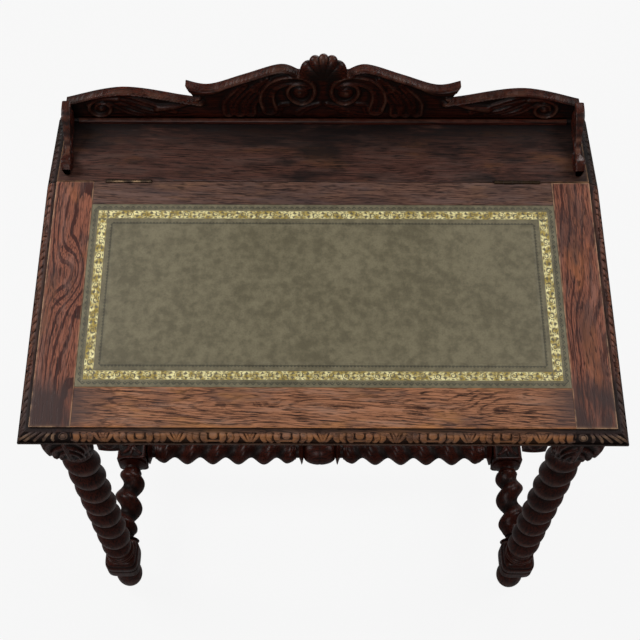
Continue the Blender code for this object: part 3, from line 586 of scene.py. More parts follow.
# The shelf darkens towards the crest: painted shade of the crest, with staining.
board_shelf = oak(
    "shelf_oak", "shelf_x",
    light=(0.096, 0.041, 0.030), dark=(0.009, 0.0035, 0.003), stain=(0.008, 0.006, 0.006),
    gold=(0.120, 0.050, 0.022), bloom=(0.084, 0.050, 0.041),
    heart=(0.0, -0.05, -0.76), stain_cover=0.85, figure=0.06, fine=2.4, shade_and_dirt=(0.170, 0.255))
board_stile_left = oak(
    "left_stile_oak", "lid_y", heart=(0.0, -0.372, 0.026 - LID_LEVEL), figure=0.26,
    eye=((-0.378, -0.027), (0.040, 0.075), 0.018), **OAK_STILE)
board_stile_right = oak(
    "right_stile_oak", "lid_y", heart=(0.3, 0.400, 0.040 - LID_LEVEL), figure=0.14, **OAK_STILE)
board_rail = oak(
    "front_rail_oak", "lid_x",
    light=(0.405, 0.178, 0.094), dark=(0.022, 0.008, 0.006), stain=(0.075, 0.046, 0.042),
    gold=(0.54, 0.235, 0.075), bloom=(0.35, 0.205, 0.145), wear_and_highlight_colour=(0.50, 0.205, 0.075),
    heart=(0.0, 0.085, 0.060 - LID_LEVEL), figure=0.06, fine=2.1, **CORNER_DIRT)
board_hinge_rail = oak(
    "hinge_rail_oak", "lid_x",
    light=(0.162, 0.084, 0.060), dark=(0.020, 0.009, 0.007), stain=(0.046, 0.033, 0.034),
    gold=(0.210, 0.108, 0.058), bloom=(0.145, 0.092, 0.080),
    heart=(0.0, -0.15, 0.050 - LID_LEVEL), figure=0.06, fine=2.2)
bare_oak = oak(
    "bare_oak_inside", "x",
    light=(0.300, 0.185, 0.100), dark=(0.150, 0.085, 0.045), stain=(0.130, 0.085, 0.055),
    polish=0.62, heart=(0.0, 0.03, -0.62))
olive_leather = leather_finish("olive_leather", light=(0.192, 0.166, 0.098), dark=(0.112, 0.095, 0.053))
border_leather = leather_finish("border_leather", light=(0.112, 0.108, 0.066), dark=(0.062, 0.060, 0.036))
tooled_leather = leather_finish("tooled_leather", light=(0.052, 0.049, 0.031), dark=(0.032, 0.030, 0.019),
                                roughness=0.45)
gold_leaf = gilt_finish("gold_leaf")
old_brass = brass_finish("old_brass")


# Carved edge of the lid and the shelf: lines of the carving in millimetres along it and down its thumb

EDGE_PERIOD = 102.0
FIRST_TONGUE = 51.0
FIRST_SIDE_TONGUE = 58.0
THUMB_ROWS = 28
EDGE_STEP = 0.0010
EDGE_CUT = 2.4
EDGE_LOBES = (
    (((13.2, 7.4), (13.4, 13.0), (11.4, 19.6)), 5.5, 4.6),
    (((23.8, 7.0), (24.4, 13.0), (21.4, 19.8)), 5.0, 4.2),
    (((32.4, 6.6), (33.4, 12.0), (30.6, 19.8)), 4.6, 3.8),
    (((38.6, 5.4), (42.0, 12.0), (47.2, 20.2)), 3.3, 2.6),
    (((51.0, 3.6), (51.0, 11.0), (51.0, 20.4)), 8.6, 2.2),
)
CORNER_LOBES = (
    (((376.8, 5.0), (378.4, 12.0), (377.0, 19.6)), 3.0, 2.4),
    (((384.6, 5.0), (388.6, 12.0), (390.4, 19.8)), 3.4, 2.6),
    (((392.6, 4.6), (399.0, 12.0), (403.4, 20.0)), 3.6, 2.8),
    (((402.6, 4.2), (410.6, 12.0), (416.6, 20.2)), 3.6, 3.0),
    (((412.0, 4.0), (420.0, 12.0), (427.0, 20.2)), 3.2, 3.0),
)
CORNER_EYE = (363.0, 11.0)
CORNER_START = 353.0
# Inset, level and wear of the rail's eased back edge, in metres
RAIL_BACK_EDGE = (
    (0.0, 0.0006 - LID_THICKNESS, 0.0),
    (0.0, -0.0006, 0.5),
    (0.0005, -0.0001, 0.6),
    (0.0016, 0.0, 0.1),
    (0.004, 0.0, 0.0),
)


def edge_section(thickness):
    """Section of the moulded edge: reach, height, thumb place in millimetres, wear, inset of plain sides."""
    rows = [
        (-0.0050, 0.0, -1.0, 0.0, 0.0030),
        (-0.0016, 0.0, -1.0, 0.15, 0.0014),
        (-0.0005, -0.0001, -1.0, 1.0, 0.0005),
        (0.0, -0.0006, -1.0, 0.8, 0.0),
        (0.0, -QUIRK_DEPTH, -1.0, 0.0, 0.0),
    ]
    arc = 0.0
    last = None
    for step in range(THUMB_ROWS + 1):
        turn = math.pi / 2 * step / THUMB_ROWS
        reach = QUIRK_WIDTH + (NOSING_REACH - QUIRK_WIDTH) * math.sin(turn)
        height = -QUIRK_DEPTH - 0.0002 - THUMB_HEIGHT * (1 - math.cos(turn))
        if last:
            arc += math.hypot(reach - last[0], height - last[1]) / MM
        last = (reach, height)
        rows.append((reach, height, arc, 0.0, 0.0))
    fillet = NOSING_REACH + FILLET_PROUD
    rows.append((fillet - 0.0005, last[1] - 0.0002, -1.0, 0.0, 0.0))
    rows.append((fillet, last[1] - 0.0007, -1.0, 0.25, 0.0))
    rows.append((fillet, -thickness + 0.0006, -1.0, 0.0, 0.0))
    rows.append((fillet - 0.0006, -thickness, -1.0, 0.0, 0.0006))
    return np.array(rows)


def edge_normals(section):
    """Outward direction of the section at every row, as reach and height."""
    slope = np.gradient(section[:, :2], axis=0)
    normal = np.column_stack([-slope[:, 1], slope[:, 0]])
    return normal / np.linalg.norm(normal, axis=1)[:, None]


def edge_relief(s, t, lobes):
    """Lobes that hang from a plain band along the top of the thumb, in millimetres."""
    carving = Relief(s, t)
    carving.ridge([(-1e3, 1.0), (1e3, 1.0)], 4.2, EDGE_CUT + 0.5)
    for line, width, end_width in lobes:
        carving.ridge(curve_through(line, 4), width, EDGE_CUT + 0.3, end_width)
    return carving


def edge_carving(along, first, section, corner=False):
    """Depth of the carving for every row of the section at places along the edge, in metres."""
    s, t = np.meshgrid(np.asarray(along) / MM, section[:, 2])
    q = np.abs((s - first + EDGE_PERIOD / 2) % EDGE_PERIOD - EDGE_PERIOD / 2)
    carving = edge_relief(q, t, EDGE_LOBES)
    carving.ridge([(0.0, 6.0), (0.0, 9.4)], 6.4, EDGE_CUT + 0.6)
    carving.ridge([(0.0, 19.0), (6.0, 19.0)], 3.4, EDGE_CUT - 0.4)
    carving.gouge(curve_through([(22.6, 12.6), (20.0, 16.0), (18.0, 19.6)], 4), 1.0, 1.2)
    carving.gouge(curve_through([(47.0, 4.6), (49.4, 9.0), (51.0, 14.0)], 4), 1.1, 1.3)
    height = carving.height
    if corner:
        carving = edge_relief(s, t, CORNER_LOBES)
        carving.boss(CORNER_EYE, 7.6, EDGE_CUT + 0.5)
        carving.gouge(spiral(CORNER_EYE, 0, 1.0, 4.4, 4.4, 24), 1.1, 1.4)
        height = np.where(s > CORNER_START, carving.height, height)
    depth = np.clip(EDGE_CUT - height, 0.0, EDGE_CUT)
    return np.where(t >= 0, depth * MM, 0.0)


def edge_shade_and_wear(section, depth, gold):
    """Painted shade where the thumb is cut, in the quirk, along the top of the thumb and on the fillet below
    it, and wear with a painted highlight on the lower half of the thumb.
    """
    height, t, plain_wear = section[:, 1:4].T[:, :, None]
    on_thumb = t >= 0
    # Wear with a painted highlight on the lobes, as strong as the given share.
    lobes = step_up(t, 5.0, 9.0) * (1 - 0.5 * step_up(t, 15.0, 21.0))
    wear_and_highlight = np.where(on_thumb, lobes * gold, plain_wear)
    hollow = np.where(on_thumb, 0.22 + 0.72 * step_up(depth, 0.5 * MM, 1.9 * MM), 0.0)
    # Painted shade in the quirk.
    quirk = 0.9 * np.exp(-((height + QUIRK_DEPTH) / 0.0011) ** 2)
    # Painted shade along the top of the thumb under the quirk, and on the fillet's face below the thumb.
    shade_and_dirt = np.where(on_thumb, 0.60 * (1 - step_up(t, 3.0, 6.0)), 0.0) + 0.8 * (height < -0.0172)
    hollow = np.maximum(hollow, np.maximum(quirk, shade_and_dirt))
    return hollow, np.where(on_thumb, wear_and_highlight * (1 - hollow), wear_and_highlight)


def to_lid(points):
    """From the flat lid (across, behind the hinge line, above its face) to its sloping place."""
    turn = np.array(Matrix.Rotation(SLOPE, 3, "X"))
    return points @ turn.T + HINGE


def lid_back(height):
    return (LID_JOINT - height * math.sin(SLOPE)) / math.cos(SLOPE)


def make_stile(name, side):
    """A side of the lid's frame, moulded and carved along its outer edge and round the corner."""
    section = edge_section(LID_THICKNESS)
    normal = edge_normals(section)
    inner = STILE_INNER + GAP / 2
    front_share = np.linspace(0, 1, round((LID_HALF - inner) / EDGE_STEP) + 1)
    side_share = np.linspace(0, 1, round(LID_LENGTH / EDGE_STEP) + 1)
    front_run = inner + front_share * (LID_HALF + NOSING_REACH - inner)
    front_depth = edge_carving(front_run, FIRST_TONGUE, section, True)
    side_depth = edge_carving(side_share * LID_LENGTH, FIRST_SIDE_TONGUE, section)
    front_depth[:, -1] = side_depth[:, 0] = 0.0
    # Painted highlight with wear on the lobes: strong along the front, faint along the side.
    front_hollow, front_wear_and_highlight = edge_shade_and_wear(section, front_depth, 0.8)
    side_hollow, side_wear_and_highlight = edge_shade_and_wear(section, side_depth, 0.12)
    rows = []
    for row, (reach, height, _, plain_wear, inset) in enumerate(section):
        start = inner + inset
        outer = LID_HALF + reach
        front = LID_LENGTH + reach
        back = lid_back(height) + inset
        out, rise = -front_depth[row] * normal[row][:, None]
        across = start + front_share * (outer - start)
        front_points = np.column_stack([across, -(front + out), height + rise])
        out, rise = -side_depth[row] * normal[row][:, None]
        deep = -front + side_share * (front - back)
        side_points = np.column_stack([outer + out, deep, height + rise])
        inner_back = np.array([[start, -back, height]])
        points = np.vstack([inner_back, front_points, side_points[1:], inner_back]) * (side, 1, 1)
        hollow = np.r_[0, front_hollow[row], side_hollow[row][1:], 0]
        wear_and_highlight = np.r_[plain_wear, front_wear_and_highlight[row], side_wear_and_highlight[row][1:], plain_wear]
        rows.append((to_lid(points), hollow, wear_and_highlight))
    return close_up(skin_rows(name, rows))


def make_lid_front_rail(name):
    """Front of the lid's frame, with the carved edge along it."""
    section = edge_section(LID_THICKNESS)
    normal = edge_normals(section)
    half = STILE_INNER - GAP / 2
    across = np.linspace(-half, half, round(2 * half / EDGE_STEP) + 1)
    even = np.ones(len(across))
    depth = edge_carving(np.abs(across), FIRST_TONGUE, section)
    hollow, wear_and_highlight = edge_shade_and_wear(section, depth, 1.0)
    reach = section[:, 0][:, None] - depth * normal[:, 0][:, None]
    height = section[:, 1][:, None] - depth * normal[:, 1][:, None]

    def laid(distance, level):
        return to_lid(np.column_stack([across, -distance * even, level * even]))

    back = PANEL_FRONT + GAP / 2
    rows = [(laid(back + inset, level), 0 * even, wear * even) for inset, level, wear in RAIL_BACK_EDGE]
    rows += [(laid(LID_LENGTH + reach[row], height[row]), hollow[row], wear_and_highlight[row])
             for row in range(len(section))]
    rows.append(rows[0])
    return close_up(skin_rows(name, rows))


def make_shelf(name):
    """Fixed shelf behind the hinge line, carved on its two ends and housed for the hinges."""
    section = edge_section(SHELF_THICKNESS)
    fillet = section[-2, 0]
    housing_floor = [(fillet, -HOUSING_DROP - step, -1.0, 0.0, 0.0) for step in (0.0, 0.0001)]
    section = np.vstack([section[:-2], housing_floor, section[-2:]])
    normal = edge_normals(section)
    share = np.linspace(0, 1, round(SHELF_DEPTH / EDGE_STEP) + 1)
    depth = edge_carving(LID_LENGTH + share * SHELF_DEPTH, FIRST_SIDE_TONGUE, section)
    hollow, wear_and_highlight = edge_shade_and_wear(section, depth, 0.08)
    half = HINGE_LENGTH / 2 + GAP
    jambs = [side * HINGE_AT + end * half for _, side in SIDES for end in (-1, -1, 1, 1)]
    let_in = np.array([0, 1, 1, 0, 0, 1, 1, 0])
    plain = np.zeros(len(jambs))
    rows = []
    for row, (reach, height, _, _, inset) in enumerate(section):
        out = LID_HALF + reach - depth[row] * normal[row, 0]
        rise = height - depth[row] * normal[row, 1]
        front = LID_JOINT + inset
        back = SHELF_DEPTH - inset
        housing = HOUSING_DEPTH * let_in * (height >= -HOUSING_DROP)
        front_edge = np.column_stack([jambs, np.maximum(front, LID_JOINT + housing), plain + height])
        right = np.column_stack([out, front + share * (back - front), rise])
        left = right[::-1] * (-1, 1, 1)
        values = [np.r_[value, value[::-1], plain, value[:1]] for value in (hollow[row], wear_and_highlight[row])]
        rows.append((np.vstack([right, left, front_edge, right[:1]]), *values))
    piece = close_up(skin_rows(name, rows, HINGE))
    edit(piece)
    bpy.ops.mesh.dissolve_degenerate(threshold=1e-7)
    object_mode()
    return piece


# Leather writing surface

LEATHER_HALF = STILE_INNER - GAP
LEATHER_BACK = HINGE_RAIL_WIDTH + GAP
LEATHER_FRONT = PANEL_FRONT - GAP
BORDER_WIDTH = 24.6 * MM
GILT_MIDDLE = 17.5 * MM
GILT_WIDTH = 11.8 * MM
GILT_PERIOD = 44.6
OUTER_TOOLING = 5.4 * MM
INNER_TOOLING = 32.0 * MM
# Blind lines: their places and width in millimetres, and the inset and rise of each step in metres
BLIND_LINES = (2.0, 9.2, 25.0, 28.8, 34.6, 36.2)
BLIND_LINE_STEPS = ((0.0003, -0.00022), (0.0004, 0.0), (0.0003, 0.00022))
BLIND_LINE_WIDTH = 1.0
FIELD_AREA = 0.02
# Root, tip and width of the leaves round a scroll, in millimetres
GILT_LEAVES = (
    ((-4.4, 1.6), (-11.4, 5.6), 3.6), ((-4.8, -0.6), (-11.8, 1.0), 3.4), ((-4.0, -2.8), (-10.8, -5.6), 3.8),
    ((4.2, 2.0), (10.6, 5.6), 3.6), ((4.8, -0.4), (11.8, -1.8), 3.6), ((3.8, -3.2), (9.8, -5.6), 3.4),
    ((-1.2, 4.0), (-5.8, 5.8), 2.2), ((1.4, 4.0), (5.4, 5.8), 2.2), ((0.0, -5.0), (-5.0, -5.8), 1.8),
)


def make_leather(name):
    """Leather sheet with blind lines pressed into it, one inset inside the other."""
    piece = box_piece(name, (-LEATHER_HALF, -LEATHER_FRONT, LEATHER_TOP - LEATHER_THICKNESS),
                      (LEATHER_HALF, -LEATHER_BACK, LEATHER_TOP))
    edit(piece)
    bpy.ops.mesh.select_all(action="DESELECT")
    object_mode()
    for face in piece.data.polygons:
        face.select = face.normal.z > 0.9
    bpy.ops.object.mode_set(mode="EDIT")
    edge = 0.0
    for place in BLIND_LINES:
        for reach, rise in ((place * MM - edge, 0.0), *BLIND_LINE_STEPS):
            bpy.ops.mesh.inset(thickness=reach, depth=rise)
        edge = (place + BLIND_LINE_WIDTH) * MM
    object_mode()
    for face in piece.data.polygons:
        across, along, _ = face.center
        edge = min(LEATHER_HALF - abs(across), LEATHER_FRONT + along, -LEATHER_BACK - along)
        face.material_index = 1 if edge < BORDER_WIDTH and face.area < FIELD_AREA else 0
    set_points(piece, to_lid(points_of(piece)))
    return piece


def band(line, half, across):
    """A flat strip along a line on the leather, from a grid one face wide."""
    table = np.zeros((2, len(line), 3))
    table[0, :, :2] = line - across * half[:, None]
    table[1, :, :2] = line + across * half[:, None]
    return skin("band", table)


def ribbon(line, width, end_width=None):
    """A strip that keeps its width, or tapers to another one."""
    line = np.asarray(line, float)
    way = np.gradient(line, axis=0)
    way /= np.linalg.norm(way, axis=1)[:, None]
    half = np.linspace(width, width if end_width is None else end_width, len(line)) / 2
    return band(line, half, np.column_stack([-way[:, 1], way[:, 0]]))


def petal(root, tip, width):
    """A flat pointed leaf from root to tip."""
    root, tip = np.array(root, float), np.array(tip, float)
    share = np.linspace(0, 1, 7)
    way = (tip - root) / np.linalg.norm(tip - root)
    half = width / 2 * np.maximum(np.sin(math.pi * share ** 0.75), 0.06)
    return band(root + share[:, None] * (tip - root), half, np.array([-way[1], way[0]]))


def gilt_scroll():
    """One repeat of the gilt vine: two facing scrolls with fat leaves and dots, in millimetres."""
    run = np.linspace(0, GILT_PERIOD, 41)
    bands = [ribbon(np.column_stack([run, 3.6 * np.sin(2 * math.pi * run / GILT_PERIOD)]), 1.5)]
    for middle, flip in ((GILT_PERIOD / 4, 1), (GILT_PERIOD * 3 / 4, -1)):
        curl = spiral((0, 0), 90, -1.35, 4.6, 0.9, 26) * (1, flip) + (middle, -0.9 * flip)
        bands.append(ribbon(curl, 1.7, 0.9))
        bands.append(ribbon(spiral((middle, -0.9 * flip), 0, 1.0, 0.8, 0.8, 9), 1.2))
        for root, tip, width in GILT_LEAVES:
            bands.append(petal((root[0] + middle, root[1] * flip), (tip[0] + middle, tip[1] * flip), width))
    return join(bands, "gilt_repeat")


def gilt_corner():
    """Corner ornament: a star of leaves round a small ring, in millimetres."""
    bands = [ribbon(spiral((0, 0), 0, 1.0, 2.0, 2.0, 13), 0.9)]
    for step in range(8):
        way = np.array([math.cos(step * math.pi / 4), math.sin(step * math.pi / 4)])
        length = 8.4 if step % 2 else 6.4
        bands.append(petal(way * 2.4, way * length, 2.6))
    for step in range(4):
        angle = math.pi / 4 + step * math.pi / 2
        corner = np.array([math.cos(angle), math.sin(angle)]) * 8.0
        for turn in (0.9, -0.9):
            way = np.array([math.cos(angle + math.pi + turn), math.sin(angle + math.pi + turn)])
            bands.append(petal(corner, corner + way * 4.6, 1.7))
    return join(bands, "gilt_corner_repeat")


def border_runs(inset):
    """The four straight runs of a border at a distance from the leather's edge: start, direction, length."""
    right = LEATHER_HALF - inset
    back = -LEATHER_BACK - inset
    front = -LEATHER_FRONT + inset
    return (
        (Vector((-right, back, 0)), 0.0, 2 * right),
        (Vector((right, back, 0)), -math.pi / 2, back - front),
        (Vector((right, front, 0)), math.pi, 2 * right),
        (Vector((-right, front, 0)), math.pi / 2, back - front),
    )


def border_of(stamp, period, inset, margin):
    """Copies of a stamp, in millimetres, along the four sides of a border."""
    copies = []
    for start, angle, length in border_runs(inset):
        count = max(1, round((length - 2 * margin) / (period * MM)))
        scale = (length - 2 * margin) / (count * period)
        run = Matrix.Translation(start) @ Matrix.Rotation(angle, 4, "Z")
        size = Matrix.Diagonal((scale, MM, MM, 1))
        for index in range(count):
            place = run @ Matrix.Translation((margin + index * period * scale, 0, 0))
            copies.append(copy_of(stamp, place @ size))
    return copies


def press_on(piece, lift, thickness=0.00006):
    """Lay flat ornament on the leather as a thin closed layer."""
    face_outwards(piece)
    layer = piece.modifiers.new("thickness", "SOLIDIFY")
    layer.thickness = thickness
    layer.offset = 0.0
    apply_modifiers(piece)
    set_points(piece, to_lid(points_of(piece) + (0, 0, LEATHER_TOP + lift)))
    return piece


def make_gilt_border(name):
    """Gilt vine round the leather, with a star in each corner and two fine lines beside it."""
    scroll = gilt_scroll()
    star = gilt_corner()
    parts = border_of(scroll, GILT_PERIOD, GILT_MIDDLE, 8.5 * MM)
    for start, _, _ in border_runs(GILT_MIDDLE):
        parts.append(copy_of(star, Matrix.Translation(start) @ Matrix.Diagonal((MM, MM, MM, 1))))
    beside = GILT_WIDTH / 2 + 0.0004
    for inset in (GILT_MIDDLE - beside, GILT_MIDDLE + beside):
        for start, angle, length in border_runs(inset):
            way = np.array([math.cos(angle), math.sin(angle)])
            run = np.linspace(0, length, 40)[:, None] * way + np.array(start.xy)
            parts.append(ribbon(run, 0.00055))
    for stamp in (scroll, star):
        bpy.data.objects.remove(stamp, do_unlink=True)
    return press_on(join(parts, name), 0.00007)


def chevron(period, height, width):
    """One pressed chevron with a short foot, in millimetres."""
    left, middle, right = 0.1 * period, 0.5 * period, 0.9 * period
    foot = 0.12 * period
    return join([ribbon(((left, -height / 2), (middle, height / 2)), width),
                 ribbon(((middle, height / 2), (right, -height / 2)), width),
                 ribbon(((middle - foot, -height / 2), (middle + foot, -height / 2)), width)], "chevron")


def make_blind_tooling(name):
    """Rows of chevrons pressed into the leather, large outside the gilt band and small inside it."""
    parts = []
    for inset, period, height, width in ((OUTER_TOOLING, 8.6, 3.8, 1.4), (INNER_TOOLING, 5.0, 2.6, 1.2)):
        stamp = chevron(period, height, width)
        parts += border_of(stamp, period, inset, 1.0 * MM)
        bpy.data.objects.remove(stamp, do_unlink=True)
    return press_on(join(parts, name), 0.00003, 0.00004)


# Twist turning

def twist_shrink(angle, along, start, end, hand, groove, pitch, steps_round, fullness=0.9):
    """How far a single-start twist falls inside its full radius, and how deep in its groove."""
    steps = round((end - start) / pitch * steps_round)
    true_pitch = (end - start) / steps * steps_round
    from_ridge = angle / 2 - math.pi / (2 * steps_round) - hand * math.pi * (along - start) / true_pitch
    share = np.clip(np.minimum(along - start, end - along) / (pitch / 2), 0, 1)
    depth = groove * share * share * (3 - 2 * share)
    valley = 1 - np.abs(np.cos(from_ridge)) ** fullness
    return (groove - depth) / 2 + depth * valley, valley * share


def round_angles(columns):
    return np.linspace(0, 2 * math.pi, columns + 1)


def square_radius(angle, half, corner):
    """Radius of a square with eased corners."""
    return half / (np.abs(np.cos(angle)) ** corner + np.abs(np.sin(angle)) ** corner) ** (1 / corner)


def ring_radius(along, start, length, edge, crown):
    share = np.clip((along - start) / length, 0, 1)
    return edge + (crown - edge) * np.sqrt(np.clip(1 - (2 * share - 1) ** 2, 0, 1))


def from_face(angle):
    """Angle from the middle of the nearest face of a square post."""
    return (angle + math.pi / 4) % (math.pi / 2) - math.pi / 4


def face_places(angle, half):
    """Place across the nearest face of a square post, in millimetres from its middle."""
    return half * np.tan(from_face(angle)) / MM


def table_of(*places):
    """Points from their three places, each for all rows and columns or for some of them."""
    return np.dstack(np.broadcast_arrays(*places))


def turned_rows(angle, level, radius):
    """Points round the upright axis; level and radius have one row for every ring."""
    return table_of(radius * np.cos(angle), radius * np.sin(angle), level)


def block_leaf(across, up):
    """Relief of the hanging acanthus on a top block, in millimetres below the face."""
    carving = Relief(np.abs(across), up)
    carving.ridge([(0, 88), (12, 84), (24, 74), (30, 58), (30, 44)], 7.0, 4.6, 3.0)
    carving.ridge([(0, 64), (12, 58), (22, 46), (26, 30), (25, 20)], 6.5, 4.6, 3.0)
    carving.ridge([(0, 44), (9, 38), (16, 26), (17, 12)], 6.0, 4.6, 3.0)
    carving.gouge([(4, 86), (16, 80), (25, 68), (28, 52)], 1.5, 1.8)
    carving.gouge([(4, 62), (14, 55), (22, 42), (24, 26)], 1.5, 1.8)
    carving.gouge([(4, 41), (11, 34), (15, 22)], 1.4, 1.6)
    carving.ridge([(0, 78), (0, 40), (0, 6)], 4.4, 5.0, 5.6)
    carving.gouge([(0, 74), (0, 40), (0, 16)], 1.2, 1.8)
    carving.boss((0, 5), 8.5, 5.2)
    carving.boss((0, 92), 11.0, 5.4)
    for level in (87.0, 92.0, 97.0):
        carving.gouge([(0.0, level), (8.0, level)], 1.2, 1.6)
    carving.ridge([(0.0, 112.0), (40.0, 112.0)], 3.0, 4.0)
    carving.ridge([(38.0, 30.0), (38.0, 140.0)], 6.0, 5.0)
    return 5.0 - carving.height


def lower_block(angle):
    """Points, painted shade of hollows, and wear of a leg's lower block: rounded at its foot, with two lines
    round it.
    """
    round_top = LOWER_BLOCK_BOTTOM + LOWER_BLOCK_ROUND
    level = np.concatenate([
        LOWER_BLOCK_BOTTOM + LOWER_BLOCK_ROUND * (1 - np.cos(np.linspace(0, math.pi / 2, 9))),
        np.linspace(round_top, LOWER_BLOCK_TOP - 0.001, 26)[1:],
        [LOWER_BLOCK_TOP],
    ])[:, None]
    below = LOWER_BLOCK_TOP - level
    under = np.maximum(0.0, (round_top - level) / LOWER_BLOCK_ROUND)
    inset = LOWER_BLOCK_ROUND * (1 - np.sqrt(np.maximum(0.0, 1 - under ** 2)))
    inset += 0.009 * (1 - np.sqrt(np.minimum(1.0, below / 0.016)))
    line = sum(0.0018 * np.exp(-((below - drop) / 0.0015) ** 2) for drop in (0.010, 0.029))
    radius = square_radius(angle, LOWER_BLOCK / 2 - inset, 4.2) - line
    across = np.abs(face_places(angle, LOWER_BLOCK / 2))
    return turned_rows(angle, level, radius), line / 0.0014, 0.12 * step_up(across, 24, 31)


def leg_collar(angle, start, end):
    """Points, painted shade of hollows, and wear of one ring under the twist."""
    level = np.linspace(start, end, 15)[:, None]
    radius = ring_radius(level, start, COLLAR_HEIGHT, COLLAR_EDGE, COLLAR_CROWN)
    hollow = np.clip((0.0232 - radius) / 0.0025, 0, 1)
    return turned_rows(angle, level, radius), hollow, 0.3 * np.clip((radius - 0.0255) / 0.0007, 0, 1)


def leg_twist(angle, start, end, hand):
    """Points, painted shade of hollows, and wear of a leg's barley twist."""
    level = np.linspace(start + 0.0006, end, 190)[:, None]
    shrink, valley = twist_shrink(angle, level, start, end, hand, **LEG_TWIST)
    hollow = step_up(valley, 0.52, 0.97)
    return turned_rows(angle, level, LEG_RADIUS - shrink), hollow, 0.25 * step_up(1 - valley, 0.93, 1.0)


def top_block(angle, y, top_at):
    """Points, painted shade of hollows, and wear of a leg's leaf-carved top block, cut off under what lies on
    it.
    """
    level = np.linspace(TOP_BLOCK_BOTTOM, top_at(y) + 0.012, 84)[:, None]
    above = level - TOP_BLOCK_BOTTOM
    share = np.clip(above / (RAIL_BOTTOM - TOP_BLOCK_BOTTOM), 0, 1)
    half = (TOP_BLOCK_FOOT + (TOP_BLOCK - TOP_BLOCK_FOOT) * share) / 2
    half = half - 0.0045 * (1 - step_up(above, 0.0, 0.022))
    across, up = np.broadcast_arrays(face_places(angle, TOP_BLOCK / 2), above / MM)
    depth = block_leaf(across, up)
    corner = 4.0 + 8.0 * step_up(above, 0.004, 0.05)
    radius = square_radius(angle, half, corner) - depth * MM / np.cos(from_face(angle))
    deep = radius * np.sin(angle)
    points = table_of(radius * np.cos(angle), deep, np.minimum(level, top_at(y + deep) - GAP))
    hollow = step_up(depth, 1.6, 4.6) * (1 - 0.9 * step_up(up, 112, 120))
    return points, hollow, 0.35 * step_up(-depth, -1.0, 0.2)


def make_leg(name, x, y, hand, top_at):
    """One post: rounded lower block, two collars, barley twist and a leaf-carved top block."""
    angle = round_angles(128)
    collar = LOWER_BLOCK_TOP + GAP
    second_collar = collar + COLLAR_HEIGHT + GAP
    twist_start = collar + 2 * (COLLAR_HEIGHT + GAP)
    rows = []
    for points, hollow, wear_and_highlight in (
        lower_block(angle),
        leg_collar(angle, collar, collar + COLLAR_HEIGHT),
        leg_collar(angle, second_collar, twist_start),
        leg_twist(angle, twist_start, TOP_BLOCK_BOTTOM - GAP, hand),
        top_block(angle, y, top_at),
    ):
        grid = points.shape[:2]
        rows += zip(points, np.broadcast_to(hollow, grid), np.broadcast_to(wear_and_highlight, grid))
    return close_up(skin_rows(name, rows, (x, y, 0)))


def lid_underside(y):
    return SHELF_UNDERSIDE - (HINGE[1] - y) * math.tan(SLOPE)


def shelf_underside(_):
    return SHELF_UNDERSIDE


def turned_table(profile, columns):
    """Rows of a turned piece standing at the origin: (height, radius) pairs."""
    level, radius = np.array(profile).T[:, :, None]
    return turned_rows(round_angles(columns), level, radius)


def make_foot(name, x, y):
    """Ball foot with a flared neck and a fine line round its belly."""
    pad, belly, neck, flare = 0.015, 0.025, 0.014, 0.019
    ball_top = 0.068
    low = math.asin(pad / belly)
    high = math.pi - math.asin(neck / belly)
    rise = ball_top / (math.cos(low) - math.cos(high))
    profile = [(0.0, pad - 0.001)]
    for turn in np.linspace(low, high, 40):
        level = rise * (math.cos(low) - math.cos(turn))
        line = 0.0005 * math.exp(-((level - 0.052) / 0.0012) ** 2)
        profile.append((level + 0.0004, belly * math.sin(turn) - line))
    neck_bead = ((0.003, 0.0), (0.004, 0.0022), (0.007, 0.0026), (0.0085, 0.0008))
    profile += [(ball_top + up, neck + out) for up, out in neck_bead]
    seat = LOWER_BLOCK_BOTTOM - GAP
    profile += [(seat - 0.004, flare - 0.002), (seat - 0.001, flare), (seat, flare)]
    table = turned_table(profile, 48)
    level = table[:, :, 2]
    wear_and_highlight = 0.3 * step_up(level, 0.0, 0.03) * step_up(-level, -0.05, -0.02)
    return close_up(skin(name, table + (x, y, 0), 0.0, wear_and_highlight))


def flange_radius(offset):
    """Ring beside a block: upright next to the block, falling in a hollow slope to the neck."""
    share = np.clip((offset - GAP) / (RING_LENGTH - GAP), 0, 1)
    if share < 0.3:
        return RING_EDGE + (RING_CROWN - RING_EDGE) * math.sin(math.pi / 2 * share / 0.3)
    return STRETCHER_NECK + (RING_CROWN - STRETCHER_NECK) * (1 - (share - 0.3) / 0.7) ** 1.3


def stretcher_rows(start, end, hand, angle):
    """Place, radius and painted shade of hollows along one twisted arm, with a ring and a neck at each end of
    it.
    """
    even = np.ones(len(angle))
    inset = RING_LENGTH + NECK_LENGTH
    neck = (RING_LENGTH + 0.0008, RING_LENGTH + NECK_LENGTH / 2, inset - 0.0005)
    turned = [(offset, flange_radius(offset), 0.0) for offset in np.linspace(GAP, RING_LENGTH, 11)]
    turned += [(offset, STRETCHER_NECK, 0.6) for offset in neck]
    rows = [(start + offset, radius * even, hollow * even) for offset, radius, hollow in turned]
    for along in np.linspace(start + inset, end - inset, max(30, round((end - start) / 0.0022))):
        shrink, valley = twist_shrink(angle, along, start + inset, end - inset, hand, **STRETCHER_TWIST)
        taper = 0.0040 * (1 - step_up(min(along - start, end - along) - inset, 0.0, 0.008))
        rows.append((along, STRETCHER_RADIUS - shrink - taper, 0.9 * step_up(valley, 0.60, 1.0)))
    rows += [(end - offset, radius * even, hollow * even) for offset, radius, hollow in turned[::-1]]
    return rows


